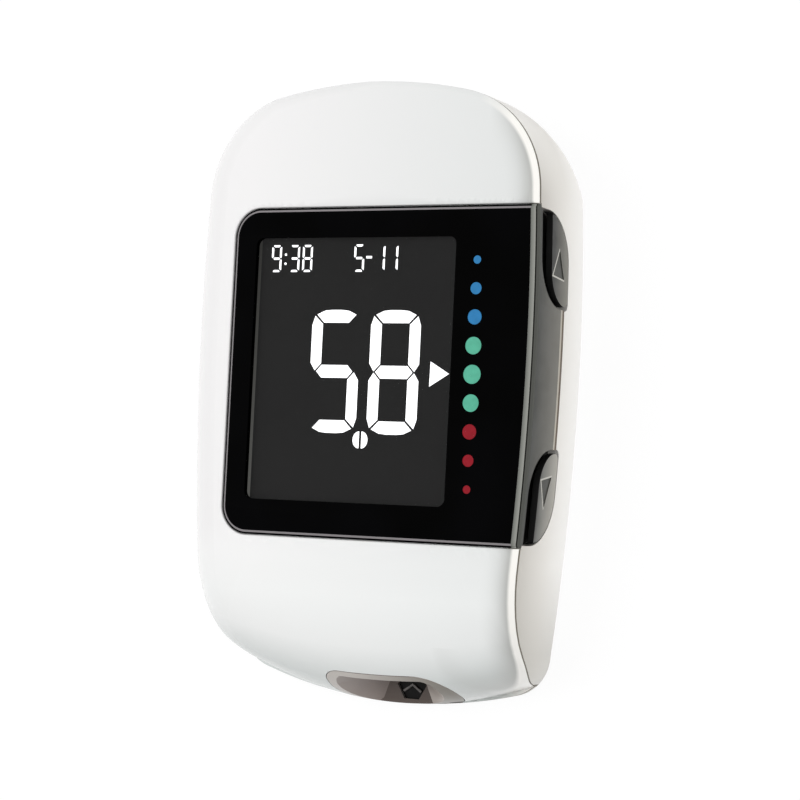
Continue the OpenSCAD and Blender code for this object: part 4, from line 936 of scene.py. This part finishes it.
for sign, x, w in (("5", -6.6, 6.83), ("8", 1.7, 6.88)):
    digit(sign, x, -5.0, w, 15.1, 1.5, 0.17, 0.1)
for sign, x in (("9", -12.95), ("3", -10.35), ("8", -8.5), ("5", -1.15), ("1", 1.75), ("1", 3.55)):
    digit(sign, x, 14.95, 1.42, 3.4, 0.27, 0.13, 0)
colon_turns = [t * math.pi / 8 for t in range(16)]
for y in (16.0, 17.15):
    flake([(-10.93 + 0.16 * math.cos(t), y + 0.16 * math.sin(t)) for t in colon_turns])
flake([(0.55, 16.6), (1.35, 16.6), (1.35, 16.9), (0.55, 16.9)])
flake([(10.13, 3.95), (10.08, 0.88), (12.7, 2.48)])
half_turn = [math.pi * k / 16 for k in range(17)]
for side in (-1, 1):
    flake([(0.92 + side * (0.16 + 0.88 * math.sin(t)), -5.85 + 1.05 * math.cos(t)) for t in half_turn])
piece("display_segments", gathered(flakes), segment_white, "meter", "display")

# ---- What carries the display ----
# A clear acrylic light guide under the glass, a white snap-in frame round both, and a pink elastomer bar
# with fine carbon layers, which feeds the glass from the board.
dress("display_frame", moulded("frame_white", linear(228, 228, 224), 0.45))
guide_clear, spot = finish("guide_clear", 0.1, IOR=1.49, Transmission_Weight=0.6)
paint(guide_clear, "Base Color", cloud(spot, 0.2).mix(linear(236, 240, 244), linear(226, 232, 240)))
dress("light_guide", guide_clear)
layered, spot = finish("layered_elastomer", 0.6, Specular_IOR_Level=0.2)
layer = spot.sum("FRACT", 2.5 * axes(spot)[0])
paint(layered, "Base Color", (layer < 0.35).mix(linear(216, 150, 165), linear(46, 42, 44)))
dress("elastomer_connector", layered)

# ---- Circuit board ----
# A green glass-fibre board with fine copper tracks under its lacquer, and what is soldered on it: the
# controller, a radio module under a tin shield, and a sounder.
board_green, spot = finish("board_green", 0.32, Coat_Weight=0.3, Coat_Roughness=0.2)
across, along, up = axes(spot)
bend = 1.5 * spot.sum("SINE", 0.35 * along)
track = (spot.sum("FRACT", (across + bend) / 1.27) < 0.3) * (cloud(spot, 0.12) > 0.45)
paint(board_green, "Base Color", track.mix(linear(24, 88, 52), linear(58, 128, 70)))
dress("main_board", board_green)
chip_black, spot = finish("chip_black", 0.45)
across, along, up = axes(spot)
first_pin = reach(across, along, Vector((-10.1, 13.5))) < 0.35
resin = cloud(spot, 0.6).mix(linear(30, 30, 31), linear(36, 36, 37))
paint(chip_black, "Base Color", first_pin.mix(resin, linear(120, 120, 118)))
dress("microcontroller", chip_black)
dress("sounder", moulded("sounder_black", linear(34, 34, 36), 0.5))


def metal(name, colour, roughness, streaks=(1, 1, 1)):
    """Bare metal, a little uneven, streaked the way it was rolled or drawn."""
    material, spot = finish(name, roughness, Metallic=1.0)
    drawn = spot.node("ShaderNodeVectorMath", {"operation": "MULTIPLY"}, {0: spot, 1: streaks})
    grain = cloud(drawn, 1.0, detail=3)
    paint(material, "Base Color", grain.mix(linear(*colour), linear(*[0.92 * c for c in colour])))
    paint(material, "Roughness", roughness * (0.75 + 0.5 * grain))
    return material


tin = metal("tin_plate", (198, 200, 203), 0.3, (0.3, 3, 1))
dress("radio_module", tin)

# ---- Side switches and plungers ----
# Two side-pushed switches on the board's right edge, in tin-plated cans, and the black rubber plungers that
# stand between them and the buttons.
rubber = moulded("rubber_black", linear(38, 38, 38), 0.65, texture=0.01, Specular_IOR_Level=0.3)
for way in ("up", "down"):
    dress(way + "_switch", tin)
    dress(way + "_plunger", rubber)

# ---- Coin cells and their contacts ----
# Two lithium cells in turned steel cans, with a dark seal between can and lid. Gilt bronze springs press on
# their inner faces, and bent strips touch their rims.
cell_steel, spot = finish("cell_steel", 0.28, Metallic=1.0)
across, along, up = axes(spot)
turned = reach(abs(across), along, Vector((CELL_X, CELL_Y)))
rings = cloud(spot.node("ShaderNodeCombineXYZ", None, {0: 6 * turned}), 1.0, detail=3)
seal = (turned > 8.75) * (turned < 8.95)
can = rings.mix(linear(200, 200, 202), linear(178, 178, 181))
paint(cell_steel, "Base Color", seal.mix(can, linear(58, 58, 60)))
paint(cell_steel, "Roughness", 0.22 + 0.14 * rings)
bronze = metal("gilt_bronze", (216, 190, 120), 0.28, (0.4, 2, 1))
for node, material in (("coin_cell_left", cell_steel), ("coin_cell_right", cell_steel),
                       ("cell_springs", bronze), ("cell_rim_contacts", bronze), ("strip_contacts", bronze)):
    dress(node, material)

# ---- Battery door ----
# The flat lid in the back, moulded in the case's plastic, with finger grooves at its latch end and two
# tongues that hook under the case.


def cad_solid(node):
    """A CAD piece's own shape in millimetres, its facets joined up again."""
    solid = bmesh.new()
    solid.from_mesh(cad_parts[node].data)
    bmesh.ops.scale(solid, vec=(1 / MM, 1 / MM, 1 / MM), verts=solid.verts)
    bmesh.ops.remove_doubles(solid, verts=solid.verts, dist=1e-3)
    bmesh.ops.dissolve_limit(solid, angle_limit=math.radians(1), verts=solid.verts, edges=solid.edges)
    return solid


piece("battery_lid", cad_solid("battery_door"), case_white, "door", "case_white", "battery_door", ease=0.1)

# ---- Case screws ----
# Two cross-recessed steel screws, driven from the back through case, board and display frame.
piece("case_screw_pair", cad_solid("case_screws"), metal("screw_steel", (164, 166, 170), 0.32), "meter",
      "screw_steel", "case_screws", ease=0.05)

# ---- Strip ejector ----
# One moulding: a grooved thumb piece in the left wall, an arm over the board, and two fingers behind the
# strip. A wound steel spring brings it back.
piece("ejector_slide", cad_solid("strip_ejector"), case_white, "ejector", "case_white", "strip_ejector",
      ease=0.1)
dress("ejector_spring", metal("spring_steel", (180, 182, 186), 0.3))

# ---- Strip connector ----
# The black housing behind the port, which holds the contacts for the test strip.
dress("strip_connector", moulded("connector_black", linear(28, 28, 29), 0.45))

# ---- USB socket ----
# A micro socket in the top end: a folded steel shell with a black tongue.
piece("usb_shell", cad_solid("usb_socket"), metal("usb_steel", (200, 202, 206), 0.3, (3, 0.3, 1)), "meter",
      "sheet_metal", "usb_socket", ease=0.04)
dress("usb_tongue", moulded("tongue_black", linear(26, 26, 27), 0.4))
